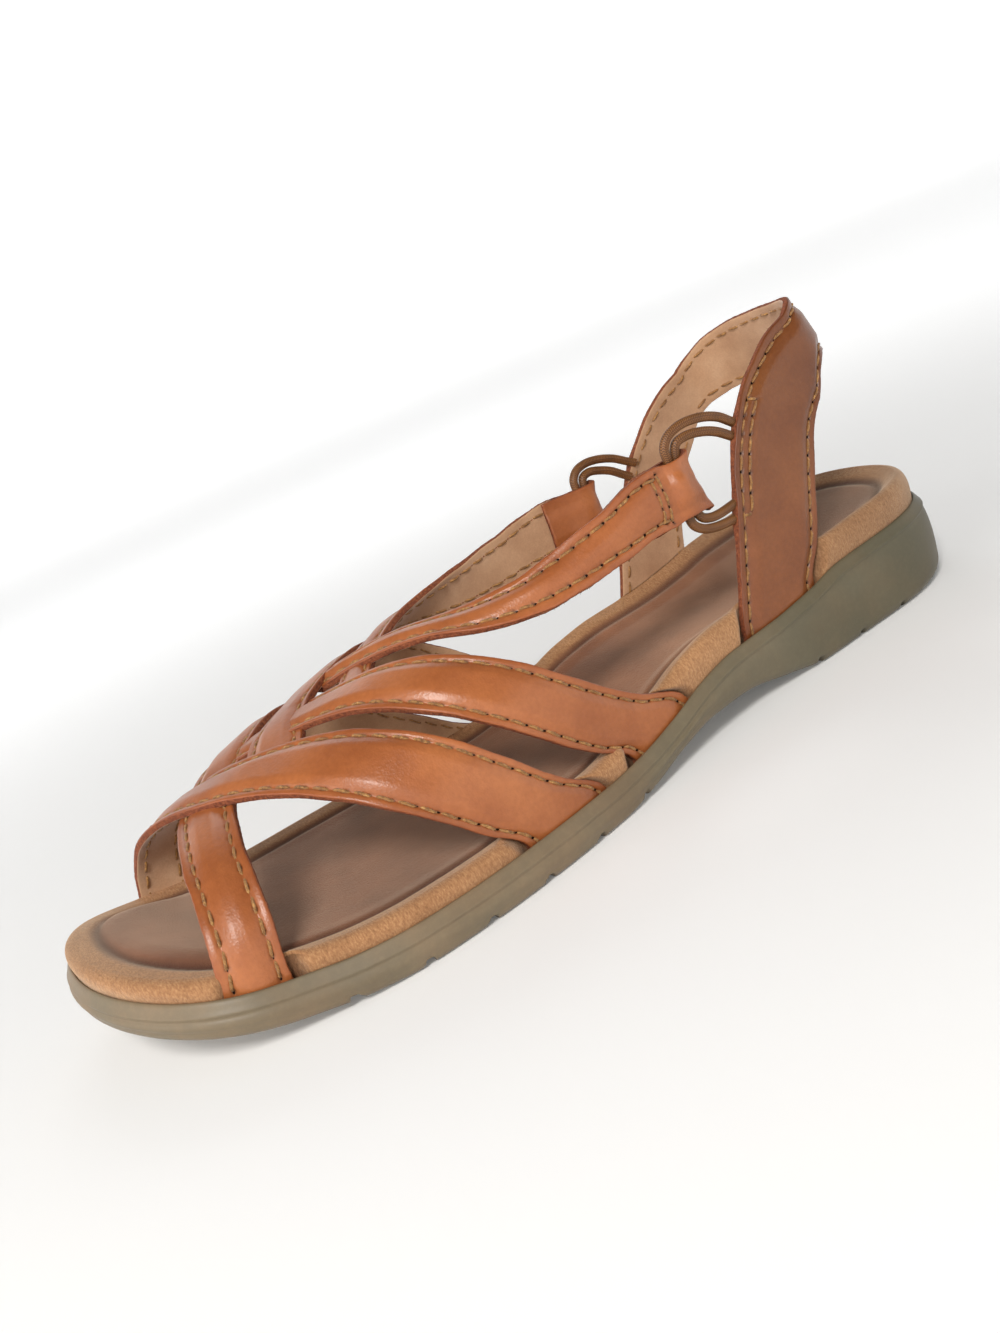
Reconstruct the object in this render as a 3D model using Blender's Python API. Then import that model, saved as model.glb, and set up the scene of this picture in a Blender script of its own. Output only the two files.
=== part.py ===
"""A left fisherman sandal with a slingback, standing empty on its sole.

The sandal is measured from its heel: s runs forward from the back of the heel, y runs from
the lateral side (-) to the medial side (+), and z is up from the floor, all in millimetres.
place() turns these into the model's metres, with the toe towards -X and the origin under the
middle of the sole.
"""
import math

import bmesh
import bpy
import numpy as np

MM = 0.001
LENGTH = 256.0               # sole, back of the heel to the tip of the toe
FIT = 0.3                    # gap that neighbouring pieces keep
HEEL_CENTRE = 32.0           # the heel's round end is struck from here
TOE_CENTRE = 220.0           # and the toe's from here
ROUND_POWER = 2.3            # superellipse power of both ends
TOE_SKEW = 6.0               # the toe's tip lies this far to the medial side
LIP_WIDTH = 2.2              # rubber lip round the footbed
STRAP = 2.2                  # strap leather with its lining
CORD = 2.4                   # round elastic
SEAT_CLEARANCE = 4 * FIT     # under a strap's tucked end
STRAP_SEAT = LIP_WIDTH + 2 * FIT + STRAP  # inset of a strap's inner face at the sole
RING = 96                    # points round the sole

# Stations of the sole: half widths, the tread's height off the floor, the radius of its lower
# edge, the top of the rubber lip, how far the footbed's rim stands above the lip and how deep
# the footbed is dished below that rim.
SOLE_COLUMNS = "s lateral medial ground edge lip rise dish"
SOLE = (
    (0, 31.0, 31.0, 1.6, 6.0, 22.6, 8.0, 6.4),
    (14, 31.3, 31.2, 0.0, 5.0, 22.4, 8.0, 7.2),
    (32, 31.8, 31.3, 0.0, 3.5, 21.8, 7.8, 7.2),
    (50, 31.8, 30.8, 0.0, 3.0, 21.0, 7.4, 6.6),
    (62, 32.0, 30.3, 0.0, 3.0, 18.8, 7.6, 6.0),
    (76, 32.6, 29.8, 2.6, 3.0, 17.4, 7.6, 5.4),
    (92, 33.8, 29.8, 5.8, 3.0, 17.0, 7.6, 5.0),
    (104, 35.4, 30.6, 6.0, 3.0, 15.2, 7.6, 4.6),
    (116, 37.0, 32.0, 4.4, 2.6, 12.0, 7.2, 4.2),
    (128, 38.8, 33.8, 1.6, 2.4, 9.8, 6.0, 3.6),
    (140, 41.0, 36.2, 0.0, 2.4, 9.0, 4.8, 3.0),
    (156, 43.6, 39.8, 0.0, 2.4, 9.0, 4.2, 2.6),
    (178, 45.2, 43.6, 0.0, 2.4, 9.0, 4.0, 2.4),
    (194, 44.8, 44.4, 0.0, 2.4, 9.2, 4.0, 2.2),
    (208, 42.6, 43.2, 0.8, 2.4, 10.0, 4.0, 2.2),
    (220, 39.2, 41.0, 2.6, 2.6, 11.8, 4.0, 2.2),
    (236, 32.0, 35.0, 6.4, 3.0, 15.4, 4.0, 2.0),
    (256, 28.0, 28.0, 12.6, 3.2, 21.4, 4.0, 1.8),
)

# Sections of the last over the sole: the ridge's height and its offset to the medial side,
# and the power of the section's superellipse.
LAST_COLUMNS = "s ridge offset power"
LAST = (
    (70, 140, 0.0, 4.0),
    (95, 105, 0.5, 4.0),
    (110, 80, 1.0, 3.6),
    (125, 64.5, 2.0, 3.3),
    (140, 56.5, 3.0, 3.1),
    (155, 52.0, 4.0, 3.0),
    (170, 48.5, 5.0, 2.9),
    (185, 45.0, 6.0, 2.8),
    (200, 41.5, 7.0, 2.6),
    (215, 38.0, 7.0, 2.5),
    (230, 35.5, 6.5, 2.4),
    (256, 33.0, 6.0, 2.3),
)

# Forefoot straps: the girth angle round the section, from 0 at the lip on the strap's own side
# over 90 at the ridge to 180 at the other lip, -10 and 190 at the bottom of the seats; the
# stations of its two edges there; and its lift, where it passes over another strap.
# Columns: girth, rear, front, lift.
REAR_STRAP_LATERAL = (
    (-10, 109, 130, 0.0),
    (0, 109, 130, 0.0),
    (10, 120.5, 140.5, 0.0),
    (26, 135, 153.5, 0.0),
    (46, 150, 168, 0.5),
    (66, 164, 181, 1.9),
    (90, 180, 197, 0.9),
    (110, 191, 207, 0.0),
    (126, 199, 214, 0.0),
)
REAR_STRAP_MEDIAL = (
    (-10, 107, 127, 0.0),
    (0, 107, 127, 0.0),
    (10, 116.5, 137, 0.0),
    (26, 131, 151.5, 0.0),
    (46, 146.5, 166, 0.0),
    (66, 162, 180, 0.9),
    (90, 180, 197, 1.9),
    (110, 191, 207, 0.4),
    (126, 199, 214, 0.0),
)
FRONT_STRAP_LATERAL = (
    (-10, 141, 165, 0.0),
    (0, 141, 165, 0.0),
    (10, 150, 172, 0.0),
    (22, 158.5, 180, 0.0),
    (44, 173, 194, 0.9),
    (66, 188, 207, 1.9),
    (90, 203, 219, 1.9),
    (118, 212, 226, 0.4),
    (146, 217, 230, 0.0),
    (180, 220, 233, 0.0),
    (190, 220, 233, 0.0),
)
FRONT_STRAP_MEDIAL = (
    (-10, 131, 156, 0.0),
    (0, 131, 156, 0.0),
    (10, 140.5, 164, 0.0),
    (22, 152, 174, 0.0),
    (44, 170.5, 192, 1.2),
    (66, 188, 207, 1.9),
    (90, 203, 219, 0.0),
    (118, 212, 226, 0.0),
    (146, 217, 230, 0.0),
    (180, 220, 233, 0.0),
    (190, 220, 233, 0.0),
)

# Instep straps: stations along the strap, the girth angles of its lower and upper edges there
# and its lift. The medial strap sits lower and ends nearer the heel; the lateral crosses on top.
# Columns: s, lower, upper, lift.
INSTEP_LATERAL = (
    (88.5, 18.6, 26.6, 0.0),
    (95, 21.2, 29.6, 0.0),
    (103, 25.2, 34.4, 0.0),
    (112, 30.6, 40.4, 0.0),
    (123, 37.0, 48.4, 0.0),
    (134, 43.4, 56.0, 0.0),
    (146, 52.6, 67.4, 0.6),
    (157, 67.0, 84.0, 1.9),
    (167, 84.0, 102.0, 1.3),
    (176, 99.0, 119.0, 0.2),
    (182, 110.0, 129.0, 0.0),
)
INSTEP_MEDIAL = (
    (83.5, 14.2, 22.0, 0.0),
    (90, 16.0, 24.4, 0.0),
    (98, 18.7, 27.8, 0.0),
    (108, 23.8, 34.0, 0.0),
    (120, 30.6, 43.0, 0.0),
    (132, 38.0, 52.6, 0.0),
    (145, 48.4, 65.6, 0.0),
    (157, 64.0, 83.0, 0.0),
    (167, 82.0, 101.0, 0.0),
    (176, 98.0, 118.0, 0.0),
    (182, 110.0, 129.0, 0.0),
)

# Column round the heel that the back strap follows: how far its back leans forward, and how
# far its sides draw in, with height.
ANKLE_COLUMNS = "z back draw"
ANKLE = (
    (0, 8.0, 0.0),
    (40, 10.0, 0.0),
    (60, 14.5, 0.8),
    (74, 21.0, 2.4),
    (86, 25.5, 4.6),
    (100, 30.0, 7.5),
)
ANKLE_CENTRE = 36.0          # behind this station the column is round
ANKLE_POWER = 2.2

# Back strap: a row for each section, from the lateral seat round to the medial seat. "turn" is
# degrees round the heel from its middle up to 90, then millimetres forward along the side.
# Columns: front turn, front z, rear turn, rear z.
BACK_STRAP_ROWS = (
    (-138.5, 11.0, -111.0, 11.0),
    (-138.5, 17.5, -112.0, 19.5),
    (-134.0, 30.0, -106.0, 29.0),
    (-130.0, 40.0, -102.0, 39.0),
    (-126.0, 50.0, -98.0, 48.5),
    (-121.0, 60.0, -93.5, 56.5),
    (-114.5, 68.5, -86.0, 63.0),
    (-106.0, 75.5, -76.0, 67.5),
    (-95.0, 81.5, -63.0, 69.5),
    (-72.0, 85.0, -46.0, 69.0),
    (-38.0, 85.5, -26.0, 67.5),
    (0.0, 84.5, 0.0, 66.0),
    (38.0, 82.5, 30.0, 65.0),
    (66.0, 79.5, 56.0, 64.0),
    (90.0, 75.0, 74.0, 62.0),
    (101.0, 70.0, 86.0, 58.5),
    (110.0, 63.0, 93.0, 53.0),
    (118.0, 54.0, 99.5, 45.0),
    (125.0, 43.0, 104.0, 37.0),
    (130.0, 33.0, 107.0, 29.0),
    (136.0, 17.5, 111.0, 19.5),
    (136.0, 11.0, 111.0, 11.0),
)

# Elastic: the cords' routes, (s, y, z), from the upper entry in the back strap's front edge,
# down through the instep strap's loop and back to the lower entry.
CORD_ROUTES = {
    "lateral_outer": (
        (64.2, -27.1, 66.0), (68.4, -27.6, 68.8), (74.0, -27.9, 70.8), (80.0, -27.9, 71.4),
        (84.4, -27.7, 70.2), (86.3, -27.5, 68.0), (86.5, -27.5, 65.2), (86.6, -27.7, 58.0),
        (86.7, -27.9, 50.6), (86.2, -28.1, 48.2), (84.2, -28.4, 46.4), (80.6, -28.6, 45.2),
        (76.0, -28.8, 44.6),
    ),
    "lateral_inner": (
        (66.2, -27.3, 63.2), (70.4, -27.7, 65.8), (75.0, -27.9, 67.6), (79.6, -27.8, 68.4),
        (82.6, -27.6, 67.8), (83.8, -27.3, 65.4), (83.9, -27.5, 58.0), (84.0, -27.8, 50.8),
        (83.0, -28.0, 48.8), (81.0, -28.3, 47.9), (78.0, -28.6, 47.6), (74.4, -28.7, 47.7),
    ),
    "medial_outer": (
        (62.0, 25.5, 59.2), (65.6, 25.5, 61.6), (70.2, 25.3, 63.4), (75.0, 24.9, 64.2),
        (79.0, 24.4, 63.6), (81.1, 24.1, 61.6), (81.4, 24.1, 59.0), (81.8, 24.2, 51.4),
        (82.1, 24.3, 44.0), (81.7, 24.6, 41.6), (80.2, 25.2, 39.8), (78.0, 25.7, 38.8),
        (75.6, 26.1, 38.4),
    ),
    "medial_inner": (
        (64.8, 25.6, 56.4), (67.8, 25.5, 58.8), (71.6, 25.1, 60.6), (75.4, 24.6, 61.6),
        (78.0, 24.2, 61.0), (78.7, 24.1, 58.8), (79.1, 24.2, 51.4), (79.4, 24.3, 44.0),
        (79.0, 24.7, 42.4), (77.6, 25.3, 41.5), (76.2, 25.7, 41.2), (74.6, 26.0, 41.2),
    ),
}

TREAD_GROOVES = (18, 34, 50, 66, 132, 148, 164, 180, 196, 212)     # stations
GROOVE_WIDTH = 2.2
GROOVE_DEPTH = 2.0
GROOVE_SPAN = 120.0          # across the sole and past both sides
CUT_PAST = 2.0               # how far a seat's cutter runs past what it cuts
FLAT_BAND = 9.0              # ring of faces inside the edge of a flat face
SEAT_ROWS = 6                # rows of a forefoot strap that lie in its seat
BACK_SEAT_ROWS = 8           # and of the back strap


# ---------------------------------------------------------------- tables and curves

def column(columns, rows, name, x):
    """The named column of a table at x, by smooth monotone interpolation over its first."""
    table = np.array(rows, dtype=float)
    known = table[:, 0]
    values = table[:, columns.split().index(name)]
    step = np.diff(known)
    slope = np.diff(values) / step
    tangent = np.zeros_like(values)
    tangent[0], tangent[-1] = slope[0], slope[-1]
    for i in range(1, len(values) - 1):
        if slope[i - 1] * slope[i] > 0:
            w1 = 2 * step[i] + step[i - 1]
            w2 = step[i] + 2 * step[i - 1]
            tangent[i] = (w1 + w2) / (w1 / slope[i - 1] + w2 / slope[i])
    x = np.clip(np.asarray(x, dtype=float), known[0], known[-1])
    i = np.clip(np.searchsorted(known, x) - 1, 0, len(known) - 2)
    h = step[i]
    t = (x - known[i]) / h
    return (values[i] * (1 + 2 * t) * (1 - t) ** 2 + tangent[i] * h * t * (1 - t) ** 2
            + values[i + 1] * t * t * (3 - 2 * t) + tangent[i + 1] * h * t * t * (t - 1))


def sole(name, s):
    return column(SOLE_COLUMNS, SOLE, name, s)


def last(name, s):
    return column(LAST_COLUMNS, LAST, name, s)


def signed_power(value, power):
    return np.sign(value) * np.abs(value) ** power


def smooth_rows(rows, steps):
    """Rows of numbers, resampled to steps + 1 rows along a smooth curve through them."""
    rows = np.array(rows, dtype=float)
    gap = np.maximum(np.linalg.norm(np.diff(rows, axis=0), axis=1), 1e-6) ** 0.5
    knots = np.concatenate([[0.0], np.cumsum(gap)])
    tangent = np.gradient(rows, knots, axis=0)
    x = np.linspace(0, knots[-1], steps + 1)
    i = np.clip(np.searchsorted(knots, x, side="right") - 1, 0, len(knots) - 2)
    h = (knots[i + 1] - knots[i])[:, None]
    t = ((x - knots[i]) / h[:, 0])[:, None]
    return (rows[i] * (1 + 2 * t) * (1 - t) ** 2 + tangent[i] * h * t * (1 - t) ** 2
            + rows[i + 1] * t * t * (3 - 2 * t) + tangent[i + 1] * h * t * t * (t - 1))


def sole_outline(count):
    """The sole's outline as count points (s, y), evenly spaced, starting at the heel's tip."""
    turn = np.linspace(0, math.pi / 2, 40)
    bend = 2 / ROUND_POWER
    heel_s = HEEL_CENTRE * (1 - np.cos(turn) ** bend)
    toe_s = TOE_CENTRE + (LENGTH - TOE_CENTRE) * np.sin(turn) ** bend
    side_s = np.linspace(HEEL_CENTRE, TOE_CENTRE, 90)[1:-1]
    sides = []
    for name, sign in (("lateral", -1), ("medial", 1)):
        heel_y = sign * sole(name, HEEL_CENTRE) * np.sin(turn) ** bend
        toe_y = sign * sole(name, TOE_CENTRE) * np.cos(turn) ** bend
        toe_y = toe_y + TOE_SKEW * np.sin(turn) ** 2
        y = np.concatenate([heel_y, sign * sole(name, side_s), toe_y])
        s = np.concatenate([heel_s, side_s, toe_s])
        sides.append(np.stack([s, y], axis=1))
    loop = np.concatenate([sides[0], sides[1][-2:0:-1]])
    loop = even_loop(loop, 400)
    for _ in range(20):
        loop = (np.roll(loop, 1, axis=0) + 2 * loop + np.roll(loop, -1, axis=0)) / 4
    low, high = loop.min(axis=0), loop.max(axis=0)
    loop[:, 0] = (loop[:, 0] - low[0]) * LENGTH / (high[0] - low[0])
    loop = np.roll(loop, -int(np.argmin(loop[:, 0])), axis=0)
    return even_loop(loop, count)


def even_loop(loop, count):
    """A closed loop of points, resampled to count evenly spaced ones."""
    closed = np.concatenate([loop, loop[:1]])
    run = np.concatenate([[0.0], np.cumsum(np.linalg.norm(np.diff(closed, axis=0), axis=1))])
    x = np.arange(count) * run[-1] / count
    return np.stack([np.interp(x, run, closed[:, k]) for k in range(loop.shape[1])], axis=1)


def inset_loop(loop, inset):
    """A closed (s, y) loop moved inwards along its normals."""
    along = np.roll(loop, -1, axis=0) - np.roll(loop, 1, axis=0)
    along /= np.linalg.norm(along, axis=1)[:, None]
    inward = np.stack([-along[:, 1], along[:, 0]], axis=1)
    centre = loop.mean(axis=0)
    if np.mean(np.sum(inward * (centre - loop), axis=1)) < 0:
        inward = -inward
    return loop + inward * np.reshape(inset, (-1, 1))


OUTLINE = sole_outline(400)
SEAT = inset_loop(OUTLINE, STRAP_SEAT)
MIDDLE = (OUTLINE[:, 1].max() + OUTLINE[:, 1].min()) / 2


def seat_y(s, side):
    """y of a strap's inner face at the sole; side is -1 lateral, 1 medial."""
    half = SEAT[SEAT[:, 1] * side > 0]
    order = np.argsort(half[:, 0])
    return np.interp(s, half[order, 0], half[order, 1])


def place(points):
    """Sandal coordinates (s, y, z) in millimetres to the model's metres."""
    points = np.asarray(points, dtype=float)
    moved = np.stack([LENGTH / 2 - points[..., 0], points[..., 1] - MIDDLE, points[..., 2]], -1)
    return moved * MM


# ---------------------------------------------------------------- surfaces of the last

def recess_floor(s):
    """Height of the floor of the sole's recess."""
    ground, lip = sole("ground", s), sole("lip", s)
    return ground + 3.6 + 0.4 * (lip - ground - 8.0)


def last_point(s, girth):
    """A point of the last: girth 0 at the lateral lip, 90 on the ridge, 180 at the medial lip."""
    s, girth = np.broadcast_arrays(np.asarray(s, float), np.asarray(girth, float))
    power, middle = last("power", s), last("offset", s)
    base = sole("lip", s)
    turn = np.radians(np.clip(girth, 0, 180))
    cosine, sine = np.cos(turn), np.sin(turn)
    reach = (np.abs(cosine) ** power + np.abs(sine) ** power) ** (1 / power)
    width = np.where(cosine > 0, middle - seat_y(s, -1), seat_y(s, 1) - middle)
    y = middle - width * cosine / reach
    z = base + (last("ridge", s) - base) * sine / reach
    sunk = np.clip(np.maximum(-girth, girth - 180) / 10, 0, None)
    z = z - sunk * (base - recess_floor(s) - SEAT_CLEARANCE)
    return np.stack([s, y, z], axis=-1)


def ankle_point(turn, z):
    """A point of the column round the heel, at a turn as in the back strap's table."""
    turn, z = np.broadcast_arrays(np.asarray(turn, float), np.asarray(z, float))
    back = column(ANKLE_COLUMNS, ANKLE, "back", z)
    draw = column(ANKLE_COLUMNS, ANKLE, "draw", z)
    angle = np.radians(np.clip(turn, -90, 90))
    bend = 2 / ANKLE_POWER
    s = ANKLE_CENTRE - (ANKLE_CENTRE - back) * np.abs(np.cos(angle)) ** bend
    s = s + np.maximum(np.abs(turn) - 90, 0)
    wide = np.where(turn < 0, -seat_y(np.maximum(s, ANKLE_CENTRE), -1),
                    seat_y(np.maximum(s, ANKLE_CENTRE), 1)) - draw
    return np.stack([s, wide * signed_power(np.sin(angle), bend), z], axis=-1)


def normals(grid):
    """Unit normals of a grid of points, pointing away from the foot."""
    along = np.gradient(grid, axis=0)
    across = np.gradient(grid, axis=1)
    normal = np.cross(along, across)
    normal /= np.maximum(np.linalg.norm(normal, axis=2), 1e-9)[..., None]
    centre = np.stack([grid[..., 0], 0 * grid[..., 0], np.full(grid.shape[:2], 20.0)], axis=-1)
    if np.sum(normal * (grid - centre)) < 0:
        normal = -normal
    return normal


def spread(first, second, across):
    """Values at even steps from one edge of a strap to the other, along by across."""
    share = np.linspace(0, 1, across + 1)
    return first[:, None] + (second - first)[:, None] * share


def strap_grid(rows, steps, across, side):
    """Points of a forefoot strap's inner face and its lift, along by across."""
    girth, rear, front, lift = smooth_rows(rows, steps).T
    if side > 0:
        girth = 180 - girth
    lift = np.maximum(lift, 0)
    return last_point(spread(rear, front, across), girth[:, None]), spread(lift, lift, across)


def instep_grid(rows, steps, across, side):
    """Points of an instep strap's inner face and its lift, along by across."""
    s, lower, upper, lift = smooth_rows(rows, steps).T
    girth = spread(lower, upper, across)
    if side > 0:
        girth = 180 - girth
    lift = np.maximum(lift, 0)
    return last_point(s[:, None], girth), spread(lift, lift, across)


def back_grid(steps, across):
    """Points of the back strap's inner face."""
    front_turn, front_z, rear_turn, rear_z = smooth_rows(BACK_STRAP_ROWS, steps).T
    return ankle_point(spread(front_turn, rear_turn, across), spread(front_z, rear_z, across))


# ---------------------------------------------------------------- meshes

def material(name, colour, roughness):
    made = bpy.data.materials.new(name)
    made.use_nodes = True
    shader = made.node_tree.nodes["Principled BSDF"]
    shader.inputs["Base Color"].default_value = (*colour, 1)
    shader.inputs["Roughness"].default_value = roughness
    return made


def mesh_object(name, points, faces, finish):
    """A closed mesh with outward normals; points are sandal coordinates."""
    mesh = bpy.data.meshes.new(name)
    mesh.from_pydata([tuple(p) for p in place(points)], [], faces)
    made = bpy.data.objects.new(name, mesh)
    bpy.context.scene.collection.objects.link(made)
    body = bmesh.new()
    body.from_mesh(mesh)
    bmesh.ops.remove_doubles(body, verts=body.verts, dist=1e-6)
    bmesh.ops.triangulate(body, faces=body.faces)
    bmesh.ops.recalc_face_normals(body, faces=body.faces)
    body.to_mesh(mesh)
    body.free()
    mesh.materials.append(finish)
    mesh.shade_smooth()
    mesh.set_sharp_from_angle(angle=math.radians(35))
    return made


def slab(name, inner, outer, finish):
    """The closed solid between two grids of points of the same size."""
    rows, columns = inner.shape[:2]
    count = rows * columns
    points = np.concatenate([inner.reshape(-1, 3), outer.reshape(-1, 3)])

    def at(i, j, layer):
        return layer * count + i * columns + j

    faces = []
    for i in range(rows - 1):
        for j in range(columns - 1):
            faces.append((at(i, j, 0), at(i, j + 1, 0), at(i + 1, j + 1, 0), at(i + 1, j, 0)))
            faces.append((at(i, j, 1), at(i + 1, j, 1), at(i + 1, j + 1, 1), at(i, j + 1, 1)))
    for i in range(rows - 1):
        for j in (0, columns - 1):
            faces.append((at(i, j, 0), at(i + 1, j, 0), at(i + 1, j, 1), at(i, j, 1)))
    for j in range(columns - 1):
        for i in (0, rows - 1):
            faces.append((at(i, j, 0), at(i, j + 1, 0), at(i, j + 1, 1), at(i, j, 1)))
    return mesh_object(name, points, faces, finish)


def band(name, grid, lift, finish):
    """A strap: the grid's inner face lifted, and thickened outwards."""
    out = normals(grid)
    inner = grid + out * lift[..., None]
    return slab(name, inner, inner + out * STRAP, finish)


def ring_solid(name, rings, finish):
    """A closed solid of stacked rings of RING points; both ends are closed across the sole."""
    points = np.concatenate(rings)
    faces = []
    for k in range(len(rings) - 1):
        for i in range(RING):
            j = (i + 1) % RING
            faces.append((k * RING + i, k * RING + j, (k + 1) * RING + j, (k + 1) * RING + i))
    half = RING // 2
    for start in (0, (len(rings) - 1) * RING):
        faces.append((start, start + 1, start + RING - 1))
        faces.append((start + half, start + half - 1, start + half + 1))
        for i in range(1, half - 1):
            faces.append((start + i, start + i + 1, start + RING - i - 1, start + RING - i))
    return mesh_object(name, points, faces, finish)


def ring(loop, inset, height):
    """One ring of the sole: the loop's inset outline at the heights given for its stations."""
    flat = inset_loop(loop, inset)
    return np.concatenate([flat, np.reshape(height, (-1, 1)) * np.ones((len(loop), 1))], axis=1)


def cut(target, cutter, operation="DIFFERENCE"):
    """A live exact Boolean of target with a hidden guide."""
    cutter.hide_render = True
    cutter.display_type = "WIRE"
    step = target.modifiers.new(cutter.name, "BOOLEAN")
    step.operation = operation
    step.object = cutter
    step.solver = "EXACT"


# ---------------------------------------------------------------- sub-parts

def make_outsole(finish):
    """The moulded rubber unit: tread with grooves, arch, side wall with a lip, and a recess."""
    loop = even_loop(OUTLINE, RING)
    s = loop[:, 0]
    ground, lip, edge = sole("ground", s), sole("lip", s), sole("edge", s)
    wall = lip - ground
    floor = recess_floor(s)
    rings = [
        ring(loop, edge + FLAT_BAND, ground),
        ring(loop, edge, ground),
        ring(loop, 0.3 * edge, ground + 0.3 * edge),
        ring(loop, 0.0, ground + edge),
        ring(loop, -0.4, ground + np.maximum(0.6 * wall, edge + 0.6)),
        ring(loop, 0.6, lip - 2.4),
        ring(loop, 0.0, lip - 1.7),
        ring(loop, 0.2, lip - 0.4),
        ring(loop, 0.8, lip),
        ring(loop, LIP_WIDTH, lip),
        ring(loop, LIP_WIDTH, floor),
        ring(loop, LIP_WIDTH + FLAT_BAND, floor),
    ]
    outsole = ring_solid("outsole", rings, finish)
    for i, station in enumerate(TREAD_GROOVES):
        groove = box("groove_%d" % i, (station, 0, sole("ground", station)),
                     (GROOVE_WIDTH, GROOVE_SPAN, 2 * GROOVE_DEPTH), finish)
        cut(outsole, groove)
    return outsole


def box(name, centre, size, finish):
    corners = [(i, j, k) for i in (-0.5, 0.5) for j in (-0.5, 0.5) for k in (-0.5, 0.5)]
    points = [[c + f * d for c, f, d in zip(centre, corner, size)] for corner in corners]
    faces = [(0, 1, 3, 2), (4, 6, 7, 5), (0, 4, 5, 1), (2, 3, 7, 6), (0, 2, 6, 4), (1, 5, 7, 3)]
    return mesh_object(name, points, faces, finish)


def make_footbed(finish):
    """The dished footbed with its rolled rim, grooved inside the rim."""
    loop = even_loop(OUTLINE, RING)
    s = loop[:, 0]
    lip, rise, dish = sole("lip", s), sole("rise", s), sole("dish", s)
    floor = recess_floor(s) + FIT
    seat = LIP_WIDTH + FIT
    rim = lip + rise
    rings = [
        ring(loop, seat + FLAT_BAND, floor),
        ring(loop, seat, floor),
        ring(loop, seat, lip + 0.3),
        ring(loop, seat - 0.3, lip + 0.55 * rise),
        ring(loop, seat + 0.2, rim - 0.18 * rise),
        ring(loop, seat + 2.0, rim),
        ring(loop, seat + 4.2, rim - 0.12 * dish),
        ring(loop, seat + 6.4, rim - 0.50 * dish),
        ring(loop, seat + 7.2, rim - 0.72 * dish),
        ring(loop, seat + 8.4, rim - 0.66 * dish),
        ring(loop, seat + 13.0, rim - 0.84 * dish),
        ring(loop, seat + 20.0, rim - dish),
    ]
    return ring_solid("footbed", rings, finish)


def seat_cutter(name, grid, finish):
    """What a strap's end takes out of the footbed: the strap, its gap and all outside it."""
    rows = grid.copy()
    widthways = rows[:, -1] - rows[:, 0]
    widthways /= np.linalg.norm(widthways, axis=1)[:, None]
    rows[:, 0] -= widthways * FIT
    rows[:, -1] += widthways * FIT
    rows[0, :, 2] -= CUT_PAST
    out = normals(grid)
    return slab(name, rows - out * FIT, rows + out * (STRAP + 2 * CUT_PAST), finish)


def loop_section():
    """The folded end of an instep strap, across the strap: outer and inner outline.

    Each point is (towards the heel from the strap's end, out from its outer face).
    """
    outer = [(-7.0, -0.4), (-3.0, 0.0), (2.0, 0.4), (5.5, 0.5)]
    for i in range(7):
        turn = math.radians(90 - 30 * i)
        outer.append((8.4 + 3.2 * math.cos(turn), -2.6 + 3.0 * math.sin(turn)))
    outer += [(5.0, -5.5), (1.5, -5.0), (-1.5, -4.2), (-4.5, -3.9), (-8.0, -3.7), (-8.0, -1.6)]
    inner = [(2.4, -2.3), (2.7, -1.9), (3.4, -1.3), (4.6, -1.0), (6.4, -1.0)]
    for i in range(6):
        turn = math.radians(75 - 30 * i)
        inner.append((8.3 + 1.8 * math.cos(turn), -2.6 + 1.6 * math.sin(turn)))
    inner += [(6.4, -4.2), (5.0, -4.2), (3.8, -4.0), (3.0, -3.4), (2.6, -3.0), (2.4, -2.65)]
    return outer, inner


def make_loop(name, grid, finish):
    """The loop that an instep strap's end makes round the elastic."""
    out = normals(grid)
    end, ahead = grid[1], grid[3]
    centre = end.mean(axis=0)
    back = centre - ahead.mean(axis=0)
    back /= np.linalg.norm(back)
    outward = out[1].mean(axis=0)
    outward -= back * np.dot(outward, back)
    outward /= np.linalg.norm(outward)
    wide = end[-1] - end[0]
    wide -= back * np.dot(wide, back) + outward * np.dot(wide, outward)
    outer, inner = loop_section()
    count = len(outer)
    origin = centre + outward * STRAP
    points = []
    for share in (-0.5, 0.5):
        for u, v in outer + inner:
            points.append(origin + wide * share + back * u + outward * v)
    faces = []
    for i in range(count):
        j = (i + 1) % count
        for side in (0, 2 * count):
            faces.append((side + i, side + j, side + count + j, side + count + i))
        for layer in (0, count):
            faces.append((layer + i, layer + j, 2 * count + layer + j, 2 * count + layer + i))
    return mesh_object(name, np.array(points), faces, finish)


def make_upper(leather, footbed):
    """The crossed straps as one solid, with the seats they need in the footbed."""
    steps, across = 26, 3
    crossing = (
        ("rear_lateral", REAR_STRAP_LATERAL, -1),
        ("rear_medial", REAR_STRAP_MEDIAL, 1),
        ("front_lateral", FRONT_STRAP_LATERAL, -1),
        ("front_medial", FRONT_STRAP_MEDIAL, 1),
    )
    upper = None
    for name, rows, side in crossing:
        grid, lift = strap_grid(rows, steps, across, side)
        strap = band(name, grid, lift, leather)
        if upper is None:
            upper = strap
            upper.name = "upper"
        else:
            cut(upper, strap, "UNION")
        cut(footbed, seat_cutter("seat_" + name, grid[:SEAT_ROWS], leather))
        if rows[-1][0] > 180:
            cut(footbed, seat_cutter("far_seat_" + name, grid[::-1][:SEAT_ROWS], leather))
    instep = (("instep_lateral", INSTEP_LATERAL, -1), ("instep_medial", INSTEP_MEDIAL, 1))
    for name, rows, side in instep:
        grid, lift = instep_grid(rows, steps, across, side)
        cut(upper, band(name, grid, lift, leather), "UNION")
        cut(upper, make_loop("loop_" + name, grid, leather), "UNION")
    return upper


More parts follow.
